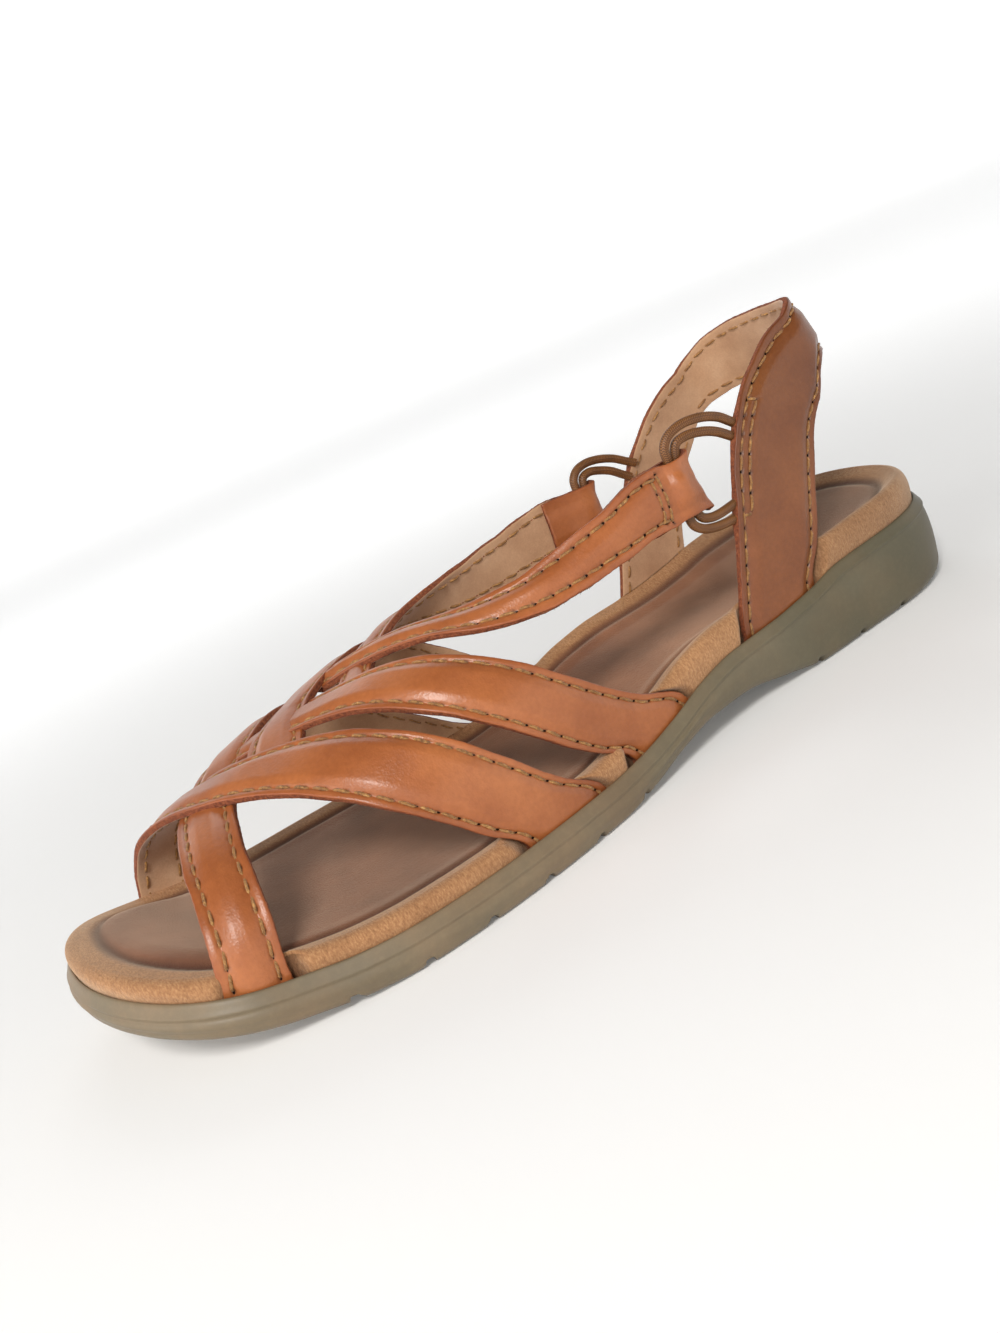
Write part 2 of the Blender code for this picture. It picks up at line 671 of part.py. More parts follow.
def make_back_strap(leather, footbed):
    """The band round the heel, seated in the sole at both ends."""
    grid = back_grid(44, 3)
    strap = band("back_strap", grid, np.zeros(grid.shape[:2]), leather)
    cut(footbed, seat_cutter("seat_back_lateral", grid[:BACK_SEAT_ROWS], leather))
    cut(footbed, seat_cutter("seat_back_medial", grid[::-1][:BACK_SEAT_ROWS], leather))
    return strap


def make_cord(name, route, finish):
    """A round elastic cord along its route, as a bevelled curve with closed ends."""
    points = place(smooth_rows(route, 26))
    curve = bpy.data.curves.new(name, "CURVE")
    curve.dimensions = "3D"
    curve.bevel_depth = CORD / 2 * MM
    curve.bevel_resolution = 2
    curve.use_fill_caps = True
    spline = curve.splines.new("POLY")
    spline.points.add(len(points) - 1)
    for knot, point in zip(spline.points, points):
        knot.co = (*point, 1)
    curve.materials.append(finish)
    made = bpy.data.objects.new(name, curve)
    bpy.context.scene.collection.objects.link(made)
    return made


def main():
    for old in list(bpy.data.objects):
        bpy.data.objects.remove(old, do_unlink=True)
    leather = material("tan_leather", (0.40, 0.14, 0.06), 0.4)
    suede = material("suede", (0.40, 0.22, 0.11), 0.9)
    rubber = material("grey_rubber", (0.18, 0.16, 0.12), 0.6)
    elastic = material("elastic", (0.26, 0.11, 0.04), 0.7)
    make_outsole(rubber)
    footbed = make_footbed(suede)
    make_upper(leather, footbed)
    make_back_strap(leather, footbed)
    for name, route in CORD_ROUTES.items():
        make_cord("elastic_" + name, route, elastic)


main()
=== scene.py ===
"""The left fisherman sandal, dressed for the render.

Everything is worked out in sandal coordinates, in millimetres: s runs forward from the back of
the heel, y from the lateral side (-) to the medial side (+), and z up from the floor. place()
turns them into the frame's metres.
"""
import math

import bmesh
import bpy
import numpy as np
from mathutils import Matrix, Vector


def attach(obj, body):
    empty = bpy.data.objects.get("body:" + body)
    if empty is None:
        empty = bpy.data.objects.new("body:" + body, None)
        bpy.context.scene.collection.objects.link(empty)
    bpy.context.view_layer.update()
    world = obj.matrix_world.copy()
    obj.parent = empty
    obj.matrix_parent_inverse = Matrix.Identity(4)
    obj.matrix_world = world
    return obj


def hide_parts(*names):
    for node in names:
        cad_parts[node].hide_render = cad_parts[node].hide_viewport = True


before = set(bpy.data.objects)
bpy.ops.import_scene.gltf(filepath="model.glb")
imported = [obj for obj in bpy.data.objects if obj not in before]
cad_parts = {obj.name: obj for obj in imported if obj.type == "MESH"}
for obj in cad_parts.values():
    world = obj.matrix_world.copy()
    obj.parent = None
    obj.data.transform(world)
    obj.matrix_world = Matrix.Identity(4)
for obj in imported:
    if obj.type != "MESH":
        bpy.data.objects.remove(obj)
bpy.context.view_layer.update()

MM = 0.001

# ------------------------------------------------------------------ the sandal's own sizes

LENGTH = 256.0               # sole, back of the heel to the tip of the toe
FIT = 0.3                    # gap between neighbouring pieces
HEEL_CENTRE = 32.0           # station of the middle of the heel's round end
TOE_CENTRE = 220.0           # and of the toe's
ROUND_POWER = 2.3            # of the superellipses that the round ends are
TOE_SKEW = 6.0               # how far the toe's tip lies towards the medial side
LIP_WIDTH = 2.2              # rubber lip round the footbed
STRAP = 2.2                  # strap leather with its lining
LEATHER = 1.3                # of which leather
CORD = 2.4                   # round elastic
SEAT_CLEARANCE = 4 * FIT     # from a strap's end to the floor of the recess
STRAP_SEAT = LIP_WIDTH + 2 * FIT + STRAP     # from the sole's outline to a strap's inner face

# The sole and the footbed: half widths, height of the ground side, radius of the lower edge, height
# of the lip, and how far the footbed's rim rises over the lip and dishes down again.
SOLE_COLUMNS = "s lateral medial ground edge lip rise dish"
SOLE = (
    (0, 31.0, 31.0, 1.6, 6.0, 22.6, 8.0, 6.4),
    (14, 31.3, 31.2, 0.0, 5.0, 22.4, 8.0, 7.2),
    (32, 31.8, 31.3, 0.0, 3.5, 21.8, 7.8, 7.2),
    (50, 31.8, 30.8, 0.0, 3.0, 21.0, 7.4, 6.6),
    (62, 32.0, 30.3, 0.0, 3.0, 18.8, 7.6, 6.0),
    (76, 32.6, 29.8, 2.6, 3.0, 17.4, 7.6, 5.4),
    (92, 33.8, 29.8, 5.8, 3.0, 17.0, 7.6, 5.0),
    (104, 35.4, 30.6, 6.0, 3.0, 15.2, 7.6, 4.6),
    (116, 37.0, 32.0, 4.4, 2.6, 12.0, 7.2, 4.2),
    (128, 38.8, 33.8, 1.6, 2.4, 9.8, 6.0, 3.6),
    (140, 41.0, 36.2, 0.0, 2.4, 9.0, 4.8, 3.0),
    (156, 43.6, 39.8, 0.0, 2.4, 9.0, 4.2, 2.6),
    (178, 45.2, 43.6, 0.0, 2.4, 9.0, 4.0, 2.4),
    (194, 44.8, 44.4, 0.0, 2.4, 9.2, 4.0, 2.2),
    (208, 42.6, 43.2, 0.8, 2.4, 10.0, 4.0, 2.2),
    (220, 39.2, 41.0, 2.6, 2.6, 11.8, 4.0, 2.2),
    (236, 32.0, 35.0, 6.4, 3.0, 15.4, 4.0, 2.0),
    (256, 28.0, 28.0, 12.6, 3.2, 21.4, 4.0, 1.8),
)
# The last that the straps over the foot follow: height of its ridge, its offset to the medial
# side, and the power of its superelliptic section.
LAST_COLUMNS = "s ridge offset power"
LAST = (
    (70, 140, 0.0, 4.0),
    (95, 105, 0.5, 4.0),
    (110, 80, 1.0, 3.6),
    (125, 64.5, 2.0, 3.3),
    (140, 56.5, 3.0, 3.1),
    (155, 52.0, 4.0, 3.0),
    (170, 48.5, 5.0, 2.9),
    (185, 45.0, 6.0, 2.8),
    (200, 41.5, 7.0, 2.6),
    (215, 38.0, 7.0, 2.5),
    (230, 35.5, 6.5, 2.4),
    (256, 33.0, 6.0, 2.3),
)

REAR_STRAP_END = 110.0       # girth angle where a rear strap ends, under the front one
INSTEP_END = 175.5           # station where an instep strap ends, under the rear one

# Forefoot straps. Columns: girth angle, rear station, front station, lift over other straps.
REAR_STRAP_LATERAL = (
    (-10, 109, 130, 0.0),
    (0, 109, 130, 0.0),
    (10, 120.5, 140.5, 0.0),
    (26, 135, 153.5, 0.0),
    (46, 150, 168, 0.5),
    (66, 164, 181, 1.9),
    (90, 180, 197, 0.9),
    (110, 191, 207, 0.0),
    (126, 199, 214, 0.0),
)
REAR_STRAP_MEDIAL = (
    (-10, 107, 127, 0.0),
    (0, 107, 127, 0.0),
    (10, 116.5, 137, 0.0),
    (26, 131, 151.5, 0.0),
    (46, 146.5, 166, 0.0),
    (66, 162, 180, 0.9),
    (90, 180, 197, 1.9),
    (110, 191, 207, 0.4),
    (126, 199, 214, 0.0),
)
FRONT_STRAP_LATERAL = (
    (-10, 141, 165, 0.0),
    (0, 141, 165, 0.0),
    (10, 150, 172, 0.0),
    (22, 158.5, 180, 0.0),
    (44, 173, 194, 0.9),
    (66, 188, 207, 1.9),
    (90, 203, 219, 1.9),
    (118, 212, 226, 0.4),
    (146, 217, 230, 0.0),
    (180, 220, 233, 0.0),
    (190, 220, 233, 0.0),
)
FRONT_STRAP_MEDIAL = (
    (-10, 131, 156, 0.0),
    (0, 131, 156, 0.0),
    (10, 140.5, 164, 0.0),
    (22, 152, 174, 0.0),
    (44, 170.5, 192, 1.2),
    (66, 188, 207, 1.9),
    (90, 203, 219, 0.0),
    (118, 212, 226, 0.0),
    (146, 217, 230, 0.0),
    (180, 220, 233, 0.0),
    (190, 220, 233, 0.0),
)

# Instep straps. Columns: station, girth angle of the lower edge and of the upper, lift.
INSTEP_LATERAL = (
    (88.5, 18.6, 26.6, 0.0),
    (95, 21.2, 29.6, 0.0),
    (103, 25.2, 34.4, 0.0),
    (112, 30.6, 40.4, 0.0),
    (123, 37.0, 48.4, 0.0),
    (134, 43.4, 56.0, 0.0),
    (146, 52.6, 67.4, 0.6),
    (157, 67.0, 84.0, 1.9),
    (167, 84.0, 102.0, 1.3),
    (176, 99.0, 119.0, 0.2),
    (182, 110.0, 129.0, 0.0),
)
INSTEP_MEDIAL = (
    (83.5, 14.2, 22.0, 0.0),
    (90, 16.0, 24.4, 0.0),
    (98, 18.7, 27.8, 0.0),
    (108, 23.8, 34.0, 0.0),
    (120, 30.6, 43.0, 0.0),
    (132, 38.0, 52.6, 0.0),
    (145, 48.4, 65.6, 0.0),
    (157, 64.0, 83.0, 0.0),
    (167, 82.0, 101.0, 0.0),
    (176, 98.0, 118.0, 0.0),
    (182, 110.0, 129.0, 0.0),
)

# The column round the heel that the back strap follows: station of its back, and how far its
# sides are drawn in, by height.
ANKLE_COLUMNS = "z back draw"
ANKLE = (
    (0, 8.0, 0.0),
    (40, 10.0, 0.0),
    (60, 14.5, 0.8),
    (74, 21.0, 2.4),
    (86, 25.5, 4.6),
    (100, 30.0, 7.5),
)
ANKLE_CENTRE = 36.0
ANKLE_POWER = 2.2

# Back strap. Columns: turn and height of the front edge, turn and height of the rear edge.
BACK_STRAP_ROWS = (
    (-138.5, 11.0, -111.0, 11.0),
    (-138.5, 17.5, -112.0, 19.5),
    (-134.0, 30.0, -106.0, 29.0),
    (-130.0, 40.0, -102.0, 39.0),
    (-126.0, 50.0, -98.0, 48.5),
    (-121.0, 60.0, -93.5, 56.5),
    (-114.5, 68.5, -86.0, 63.0),
    (-106.0, 75.5, -76.0, 67.5),
    (-95.0, 81.5, -63.0, 69.5),
    (-72.0, 85.0, -46.0, 69.0),
    (-38.0, 85.5, -26.0, 67.5),
    (0.0, 84.5, 0.0, 66.0),
    (38.0, 82.5, 30.0, 65.0),
    (66.0, 79.5, 56.0, 64.0),
    (90.0, 75.0, 74.0, 62.0),
    (101.0, 70.0, 86.0, 58.5),
    (110.0, 63.0, 93.0, 53.0),
    (118.0, 54.0, 99.5, 45.0),
    (125.0, 43.0, 104.0, 37.0),
    (130.0, 33.0, 107.0, 29.0),
    (136.0, 17.5, 111.0, 19.5),
    (136.0, 11.0, 111.0, 11.0),
)

# Elastic cords, (s, y, z): upper entry in the back strap, the loop, lower entry.
CORD_ROUTES = {
    "lateral_outer": (
        (64.2, -27.1, 66.0), (68.4, -27.6, 68.8), (74.0, -27.9, 70.8), (80.0, -27.9, 71.4),
        (84.4, -27.7, 70.2), (86.3, -27.5, 68.0), (86.5, -27.5, 65.2), (86.6, -27.7, 58.0),
        (86.7, -27.9, 50.6), (86.2, -28.1, 48.2), (84.2, -28.4, 46.4), (80.6, -28.6, 45.2),
        (76.0, -28.8, 44.6),
    ),
    "lateral_inner": (
        (66.2, -27.3, 63.2), (70.4, -27.7, 65.8), (75.0, -27.9, 67.6), (79.6, -27.8, 68.4),
        (82.6, -27.6, 67.8), (83.8, -27.3, 65.4), (83.9, -27.5, 58.0), (84.0, -27.8, 50.8),
        (83.0, -28.0, 48.8), (81.0, -28.3, 47.9), (78.0, -28.6, 47.6), (74.4, -28.7, 47.7),
    ),
    "medial_outer": (
        (62.0, 25.5, 59.2), (65.6, 25.5, 61.6), (70.2, 25.3, 63.4), (75.0, 24.9, 64.2),
        (79.0, 24.4, 63.6), (81.1, 24.1, 61.6), (81.4, 24.1, 59.0), (81.8, 24.2, 51.4),
        (82.1, 24.3, 44.0), (81.7, 24.6, 41.6), (80.2, 25.2, 39.8), (78.0, 25.7, 38.8),
        (75.6, 26.1, 38.4),
    ),
    "medial_inner": (
        (64.8, 25.6, 56.4), (67.8, 25.5, 58.8), (71.6, 25.1, 60.6), (75.4, 24.6, 61.6),
        (78.0, 24.2, 61.0), (78.7, 24.1, 58.8), (79.1, 24.2, 51.4), (79.4, 24.3, 44.0),
        (79.0, 24.7, 42.4), (77.6, 25.3, 41.5), (76.2, 25.7, 41.2), (74.6, 26.0, 41.2),
    ),
}

# Grooves across the tread: their stations, width and depth.
TREAD_GROOVES = (18, 34, 50, 66, 132, 148, 164, 180, 196, 212)
GROOVE_WIDTH = 2.2
GROOVE_DEPTH = 2.0

# ------------------------------------------------------------------ surface detail, in mm

ROW_STEP = 0.52              # along a strap
EDGE_STEPS = (               # rows of points near a strap's edge, at these distances from it
    0.0, 0.08, 0.2, 0.4, 0.7, 1.1, 1.5, 1.8, 2.05, 2.3, 2.55, 2.85, 3.3, 3.9, 4.4, 4.75, 5.1, 5.7,
)
MIDDLE_COLUMNS = 10          # and this many between them
STITCH_INSET = 2.3           # stitch rows, from a strap's edge
SECOND_ROW = 2.45            # from the first row to the short second one on the back strap
SECOND_ROWS = ((-1, 44.0, 68.5), (1, 38.5, 61.5))   # of which there are two: side, and heights
PITCH = 4.6                  # of the stitches
FLANGE = 1.85                # strap's thickness outside the stitch row
FULLNESS = 0.35              # a strap's middle stands this much prouder than its own thickness
BACK_FULLNESS = 0.5          # and the back strap's
EDGE_ROUND = 0.45            # radius of a strap's edges
SWAY = 0.16                  # how far its edges wander from their lines
HAIRS = 0.5                  # frayed fibres on each millimetre of cut edge
HAIR_REACH = (0.2, 0.55)     # least and greatest length of a fibre
HAIR_RADII = (0.045, 0.035, 0.01)            # from its root to its tip
FUZZ = (-0.08, 0.24)         # how far the cut edge itself is roughened
GROOVE = 0.38                # the stitch row is drawn in this far
GROOVE_REACH = 0.55          # over this much to each side
DIP = 0.35                   # and this much more at each needle hole
HOLE = 0.46                  # its radius
PLY = 0.21                   # radius of one ply of the thread
PIT_HEIGHTS = (-0.55, -0.16, -0.06, -0.02)   # of the dark plug in a needle hole, which is painted shade
PIT_RADII = (0.42, 0.41, 0.30, 0.06)         # from its bottom to its top
CROSS_ROWS = ((-0.9, 0.41), (-3.0, 0.36))    # across an instep strap: towards the heel, half reach
CROSS_PITCH = 3.7            # of the stitches in them
LOOP_START = 1 / 26          # share of an instep strap where its folded loop starts
LOOP_ROWS = 76               # rows of points round the loop
BRAID_PITCH = 0.52           # of the elastic's strands
BRAID_COLUMNS = 6            # herringbones round it
CORD_ENTRY = 2.6             # a cord's ends run this far into their strap
CORD_SHIFTS = (1.3, 0.75, 0.3)               # and their last points lie this far inwards
CORD_STEP = 0.11             # between the rings of points along a cord
CORD_SIDES = 28              # points in a ring
SOLE_POINTS = 900            # round the sole
GROOVE_INSET = 7.6           # of the footbed's groove, from its outer edge
INNER_INSET = 15.8           # of the last ring on the footbed's top
RIM_SLOPE = 0.44             # share of the footbed's dish that its rim slopes down by
BOWL = 0.55                  # and share that its middle is hollowed by
FOOTBED_EDGE = LIP_WIDTH + 0.05              # from the sole's outline
EVENING = 10.0               # reach over which the footbed's slope towards the toe is evened out

# Section of the sole's lip, from the soft ridge at the top of the side, up its slope and down into
# the recess: inset, and depth below the lip's top.
LIP_PROFILE = (
    (0.12, 3.05), (0.02, 2.85), (-0.04, 2.65), (0.02, 2.45), (0.18, 2.2), (0.42, 1.85), (0.68, 1.4),
    (0.92, 0.95), (1.15, 0.55), (1.4, 0.22), (1.65, 0.04), (1.9, 0.0), (2.1, 0.2), (2.2, 0.7), (2.2, 2.6),
)

# Studio lights: name, place, size, power and colour.
LIGHTS = (
    ("key", (-0.46, -0.62, 0.72), (0.26, 0.26), 7.8, (1.0, 0.97, 0.93)),
    ("side", (-0.80, -0.10, 0.30), (0.70, 0.50), 1.9, (1.0, 0.98, 0.95)),
    ("rim", (0.25, 0.8, 0.7), (0.6, 0.4), 1.4, (0.96, 0.98, 1.0)),
)
LIT = Vector((0.0, 0.0, 0.03))               # what they all face

# The studio's floor and backdrop, in metres.
FLOOR_RADIUS = 2.2           # of the floor's flat part
FLOOR_BEND = 0.6             # radius of its curve up into the backdrop
FLOOR_SIDES = 96
BACKDROP_HEIGHT = 1.4
# The floor glows more the further it is from the sandal, so that the backdrop stays pale.
FLOOR_GLOW = {"From Min": 0.08, "From Max": 0.75, "To Min": 0.08, "To Max": 0.56}

# Camera: its axes, what it looks at, and from how far.
VIEW_RIGHT = Vector((0.78731, -0.48278, -0.38348))
VIEW_UP = Vector((0.46734, 0.06161, 0.88193))
VIEW_BACK = Vector((-0.40215, -0.87357, 0.27413))
VIEW_TARGET = Vector((-0.006, 0.003, 0.033))
VIEW_DISTANCE = 0.305
LENS = 44.0


# ------------------------------------------------------------------ curves and tables

def column(columns, rows, name, x):
    """The named column of a table at x, by smooth monotone interpolation over its first."""
    table = np.array(rows, dtype=float)
    known = table[:, 0]
    values = table[:, columns.split().index(name)]
    step = np.diff(known)
    slope = np.diff(values) / step
    tangent = np.zeros_like(values)
    tangent[0], tangent[-1] = slope[0], slope[-1]
    for i in range(1, len(values) - 1):
        if slope[i - 1] * slope[i] > 0:
            w1 = 2 * step[i] + step[i - 1]
            w2 = step[i] + 2 * step[i - 1]
            tangent[i] = (w1 + w2) / (w1 / slope[i - 1] + w2 / slope[i])
    x = np.clip(np.asarray(x, dtype=float), known[0], known[-1])
    i = np.clip(np.searchsorted(known, x) - 1, 0, len(known) - 2)
    h = step[i]
    t = (x - known[i]) / h
    return (values[i] * (1 + 2 * t) * (1 - t) ** 2 + tangent[i] * h * t * (1 - t) ** 2
            + values[i + 1] * t * t * (3 - 2 * t) + tangent[i + 1] * h * t * t * (t - 1))


def sole(name, s):
    """One of the sole's measures at stations s."""
    return column(SOLE_COLUMNS, SOLE, name, s)


def last(name, s):
    """One of the last's measures at stations s."""
    return column(LAST_COLUMNS, LAST, name, s)


def signed_power(value, power):
    """The power of a value's size, with the value's sign."""
    return np.sign(value) * np.abs(value) ** power


def smoothstep(x, low, high):
    """0 up to low, 1 from high, and a smooth step between."""
    t = np.clip((x - low) / (high - low), 0, 1)
    return t * t * (3 - 2 * t)


def bell(x, width):
    """1 at 0, falling smoothly to nothing at about twice the width."""
    return np.exp(-(x / width) ** 2)


def full_turn(sides):
    """Angles of evenly spaced points round a circle."""
    return np.linspace(0, 2 * math.pi, sides, endpoint=False)


def unit(vectors):
    """Vectors of length 1 in the same directions."""
    return vectors / np.linalg.norm(vectors, axis=-1, keepdims=True)


def lengths(points):
    """Distance run along a line of points."""
    return np.concatenate([[0.0], np.cumsum(np.linalg.norm(np.diff(points, axis=0), axis=1))])


def read_along(values, run, x):
    """Rows of values, one at each distance in run, read at distances x."""
    return np.stack([np.interp(x, run, values[:, k]) for k in range(values.shape[1])], axis=1)


def smooth_at(rows, share):
    """Rows of numbers, read at shares from 0 to 1 of a smooth curve through them."""
    rows = np.array(rows, dtype=float)
    gap = np.maximum(np.linalg.norm(np.diff(rows, axis=0), axis=1), 1e-6) ** 0.5
    knots = np.concatenate([[0.0], np.cumsum(gap)])
    tangent = np.gradient(rows, knots, axis=0)
    x = np.clip(np.asarray(share, dtype=float), 0, 1) * knots[-1]
    i = np.clip(np.searchsorted(knots, x, side="right") - 1, 0, len(knots) - 2)
    h = (knots[i + 1] - knots[i])[:, None]
    t = ((x - knots[i]) / h[:, 0])[:, None]
    return (rows[i] * (1 + 2 * t) * (1 - t) ** 2 + tangent[i] * h * t * (1 - t) ** 2
            + rows[i + 1] * t * t * (3 - 2 * t) + tangent[i + 1] * h * t * t * (t - 1))


def even_loop(loop, count):
    """A closed loop of points, resampled to count evenly spaced ones."""
    closed = np.concatenate([loop, loop[:1]])
    run = lengths(closed)
    return read_along(closed, run, np.arange(count) * run[-1] / count)


def relax_loop(loop, passes):
    """A closed loop with its corners smoothed."""
    for _ in range(passes):
        loop = (np.roll(loop, 1, axis=0) + 2 * loop + np.roll(loop, -1, axis=0)) / 4
    return loop


def sole_outline():
    """The sole's outline, (s, y), starting at the heel's tip."""
    turn = np.linspace(0, math.pi / 2, 40)
    bend = 2 / ROUND_POWER
    heel_s = HEEL_CENTRE * (1 - np.cos(turn) ** bend)
    toe_s = TOE_CENTRE + (LENGTH - TOE_CENTRE) * np.sin(turn) ** bend
    side_s = np.linspace(HEEL_CENTRE, TOE_CENTRE, 90)[1:-1]
    sides = []
    for name, sign in (("lateral", -1), ("medial", 1)):
        heel_y = sign * sole(name, HEEL_CENTRE) * np.sin(turn) ** bend
        toe_y = sign * sole(name, TOE_CENTRE) * np.cos(turn) ** bend
        toe_y = toe_y + TOE_SKEW * np.sin(turn) ** 2
        y = np.concatenate([heel_y, sign * sole(name, side_s), toe_y])
        s = np.concatenate([heel_s, side_s, toe_s])
        sides.append(np.stack([s, y], axis=1))
    loop = even_loop(np.concatenate([sides[0], sides[1][-2:0:-1]]), 400)
    loop = relax_loop(loop, 20)
    low, high = loop.min(axis=0), loop.max(axis=0)
    loop[:, 0] = (loop[:, 0] - low[0]) * LENGTH / (high[0] - low[0])
    return np.roll(loop, -int(np.argmin(loop[:, 0])), axis=0)


def inset_loop(loop, inset):
    """A closed (s, y) loop moved inwards along its normals."""
    along = unit(np.roll(loop, -1, axis=0) - np.roll(loop, 1, axis=0))
    inward = np.stack([-along[:, 1], along[:, 0]], axis=1)
    centre = loop.mean(axis=0)
    if np.mean(np.sum(inward * (centre - loop), axis=1)) < 0:
        inward = -inward
    return loop + inward * np.reshape(inset, (-1, 1))


OUTLINE = even_loop(sole_outline(), 400)
SEAT = inset_loop(OUTLINE, STRAP_SEAT)
MIDDLE = (OUTLINE[:, 1].max() + OUTLINE[:, 1].min()) / 2


def seat_y(s, side):
    """y of a strap's inner face at the sole; side is -1 lateral, 1 medial."""
    half = SEAT[SEAT[:, 1] * side > 0]
    order = np.argsort(half[:, 0])
    return np.interp(s, half[order, 0], half[order, 1])


def place(points):
    """Sandal coordinates (s, y, z) in millimetres to the frame's metres."""
    points = np.asarray(points, dtype=float)
    moved = np.stack([LENGTH / 2 - points[..., 0], points[..., 1] - MIDDLE, points[..., 2]], -1)
    return moved * MM


def recess_floor(s):
    """Height of the floor of the sole's recess, which the footbed lies on."""
    ground, lip = sole("ground", s), sole("lip", s)
    return ground + 3.6 + 0.4 * (lip - ground - 8.0)


def last_point(s, girth):
    """A point of the last: girth 0 at the lateral lip, 90 on the ridge, 180 at the medial lip."""
    s, girth = np.broadcast_arrays(np.asarray(s, float), np.asarray(girth, float))
    power, middle = last("power", s), last("offset", s)
    base = sole("lip", s)
    turn = np.radians(np.clip(girth, 0, 180))
    cosine, sine = np.cos(turn), np.sin(turn)
    reach = (np.abs(cosine) ** power + np.abs(sine) ** power) ** (1 / power)
    width = np.where(cosine > 0, middle - seat_y(s, -1), seat_y(s, 1) - middle)
    y = middle - width * cosine / reach
    z = base + (last("ridge", s) - base) * sine / reach
    sunk = np.clip(np.maximum(-girth, girth - 180) / 10, 0, None)
    z = z - sunk * (base - recess_floor(s) - SEAT_CLEARANCE)
    return np.stack([s, y, z], axis=-1)


def ankle_point(turn, z):
    """A point of the column round the heel that the back strap follows."""
    turn, z = np.broadcast_arrays(np.asarray(turn, float), np.asarray(z, float))
    back = column(ANKLE_COLUMNS, ANKLE, "back", z)
    draw = column(ANKLE_COLUMNS, ANKLE, "draw", z)
    angle = np.radians(np.clip(turn, -90, 90))
    bend = 2 / ANKLE_POWER
    s = ANKLE_CENTRE - (ANKLE_CENTRE - back) * np.abs(np.cos(angle)) ** bend
    s = s + np.maximum(np.abs(turn) - 90, 0)
    wide = np.where(turn < 0, -seat_y(np.maximum(s, ANKLE_CENTRE), -1),
                    seat_y(np.maximum(s, ANKLE_CENTRE), 1)) - draw
    return np.stack([s, wide * signed_power(np.sin(angle), bend), z], axis=-1)


def wander(x, wavelength, seed):
    """A smooth wandering value of about -1 to 1 along x."""
    phase = np.random.default_rng(seed).uniform(0, 2 * math.pi, 4)
    total = 0
    for k in range(4):
        total = total + np.sin(2 * math.pi * x / (wavelength * (0.6 + 0.37 * k)) + phase[k])
    return total / 2.4


# ------------------------------------------------------------------ strap surfaces

class Ribbon:
    """The inner face of a strap: at(t, share) gives points along t, from 0 to 1, and across."""

    def __init__(self, kind, table, side):
        self.kind, self.table, self.side = kind, table, side

    def at(self, t, share):
        """Points, and lifts over other straps, for t of n values and share of n by m."""
        t = np.atleast_1d(t)
        share = np.asarray(share, float) * np.ones((len(t), 1))
        a, b, c, d = (part[:, None] for part in smooth_at(self.table, t).T)
        if self.kind == "back":
            return ankle_point(a + (c - a) * share, b + (d - b) * share), 0 * share
        lift = np.maximum(d, 0) * np.ones_like(share)
        if self.kind == "across":
            girth = a + 0 * share
            return last_point(b + (c - b) * share, 180 - girth if self.side > 0 else girth), lift
        known = np.linspace(0, 1, 9)[None, :]
        girth = b + (c - b) * known
        line = last_point(a + 0 * known, 180 - girth if self.side > 0 else girth)
        solve = np.linalg.pinv(np.vander(known[0], 4))
        powers = share[..., None] ** np.arange(3, -1, -1)
        return np.einsum("nmk,kj,njc->nmc", powers, solve, line), lift

    def reach(self, end):
        """The value of t where the table's first column comes to end."""
        t = np.linspace(0, 1, 400)
        return float(np.interp(end, smooth_at(self.table, t)[:, 0], t))

    def even(self, step, first=0.0, last=1.0):
        """Values of t at even steps of the middle line's length."""
        t = np.linspace(first, last, 500)
        run = lengths(self.at(t, [[0.5]])[0][:, 0])
        return np.interp(np.linspace(0, run[-1], int(run[-1] / step) + 1), run, t)

    def width(self, t):
        """Widths of the strap at t."""
        ends = self.at(t, [[0.0, 1.0]])[0]
        return np.linalg.norm(ends[:, 1] - ends[:, 0], axis=1)


def outward(grid, hint):
    """Unit normals of a grid of points, on the side of the hint vectors."""
    normal = np.cross(np.gradient(grid, axis=0), np.gradient(grid, axis=1))
    normal /= np.maximum(np.linalg.norm(normal, axis=-1), 1e-9)[..., None]
    if np.sum(normal * hint) < 0:
        normal = -normal
    return normal


def foot_hint(grid):
    """Vectors from the middle of the foot to the points of a grid."""
    return grid - np.stack([grid[..., 0], 0 * grid[..., 0], 0 * grid[..., 0] + 20.0], axis=-1)


def shares(width):
    """Shares across a strap, close together along both edges, one row for each width."""
    edge = np.array(EDGE_STEPS)[None, :] / np.maximum(width, EDGE_STEPS[-1] / 0.44)[:, None]
    fill = np.linspace(0, 1, MIDDLE_COLUMNS + 2)[1:-1][None, :]
    middle = edge[:, -1:] + (1 - 2 * edge[:, -1:]) * fill
    return np.concatenate([edge, middle, 1 - edge[:, ::-1]], axis=1)


def leather_height(distance, fullness, half):
    """Height of a strap's outer face over its inner one, at a distance from the nearest edge
    of a strap of a given half width."""
    rise = smoothstep(distance, STITCH_INSET, np.minimum(STITCH_INSET + 3.6, 0.97 * half))
    corner = np.clip(1 - distance / EDGE_ROUND, 0, 1)
    rounding = 0.75 * EDGE_ROUND * (1 - np.sqrt(1 - corner ** 2))
    return FLANGE + (STRAP - FLANGE + fullness) * rise - rounding


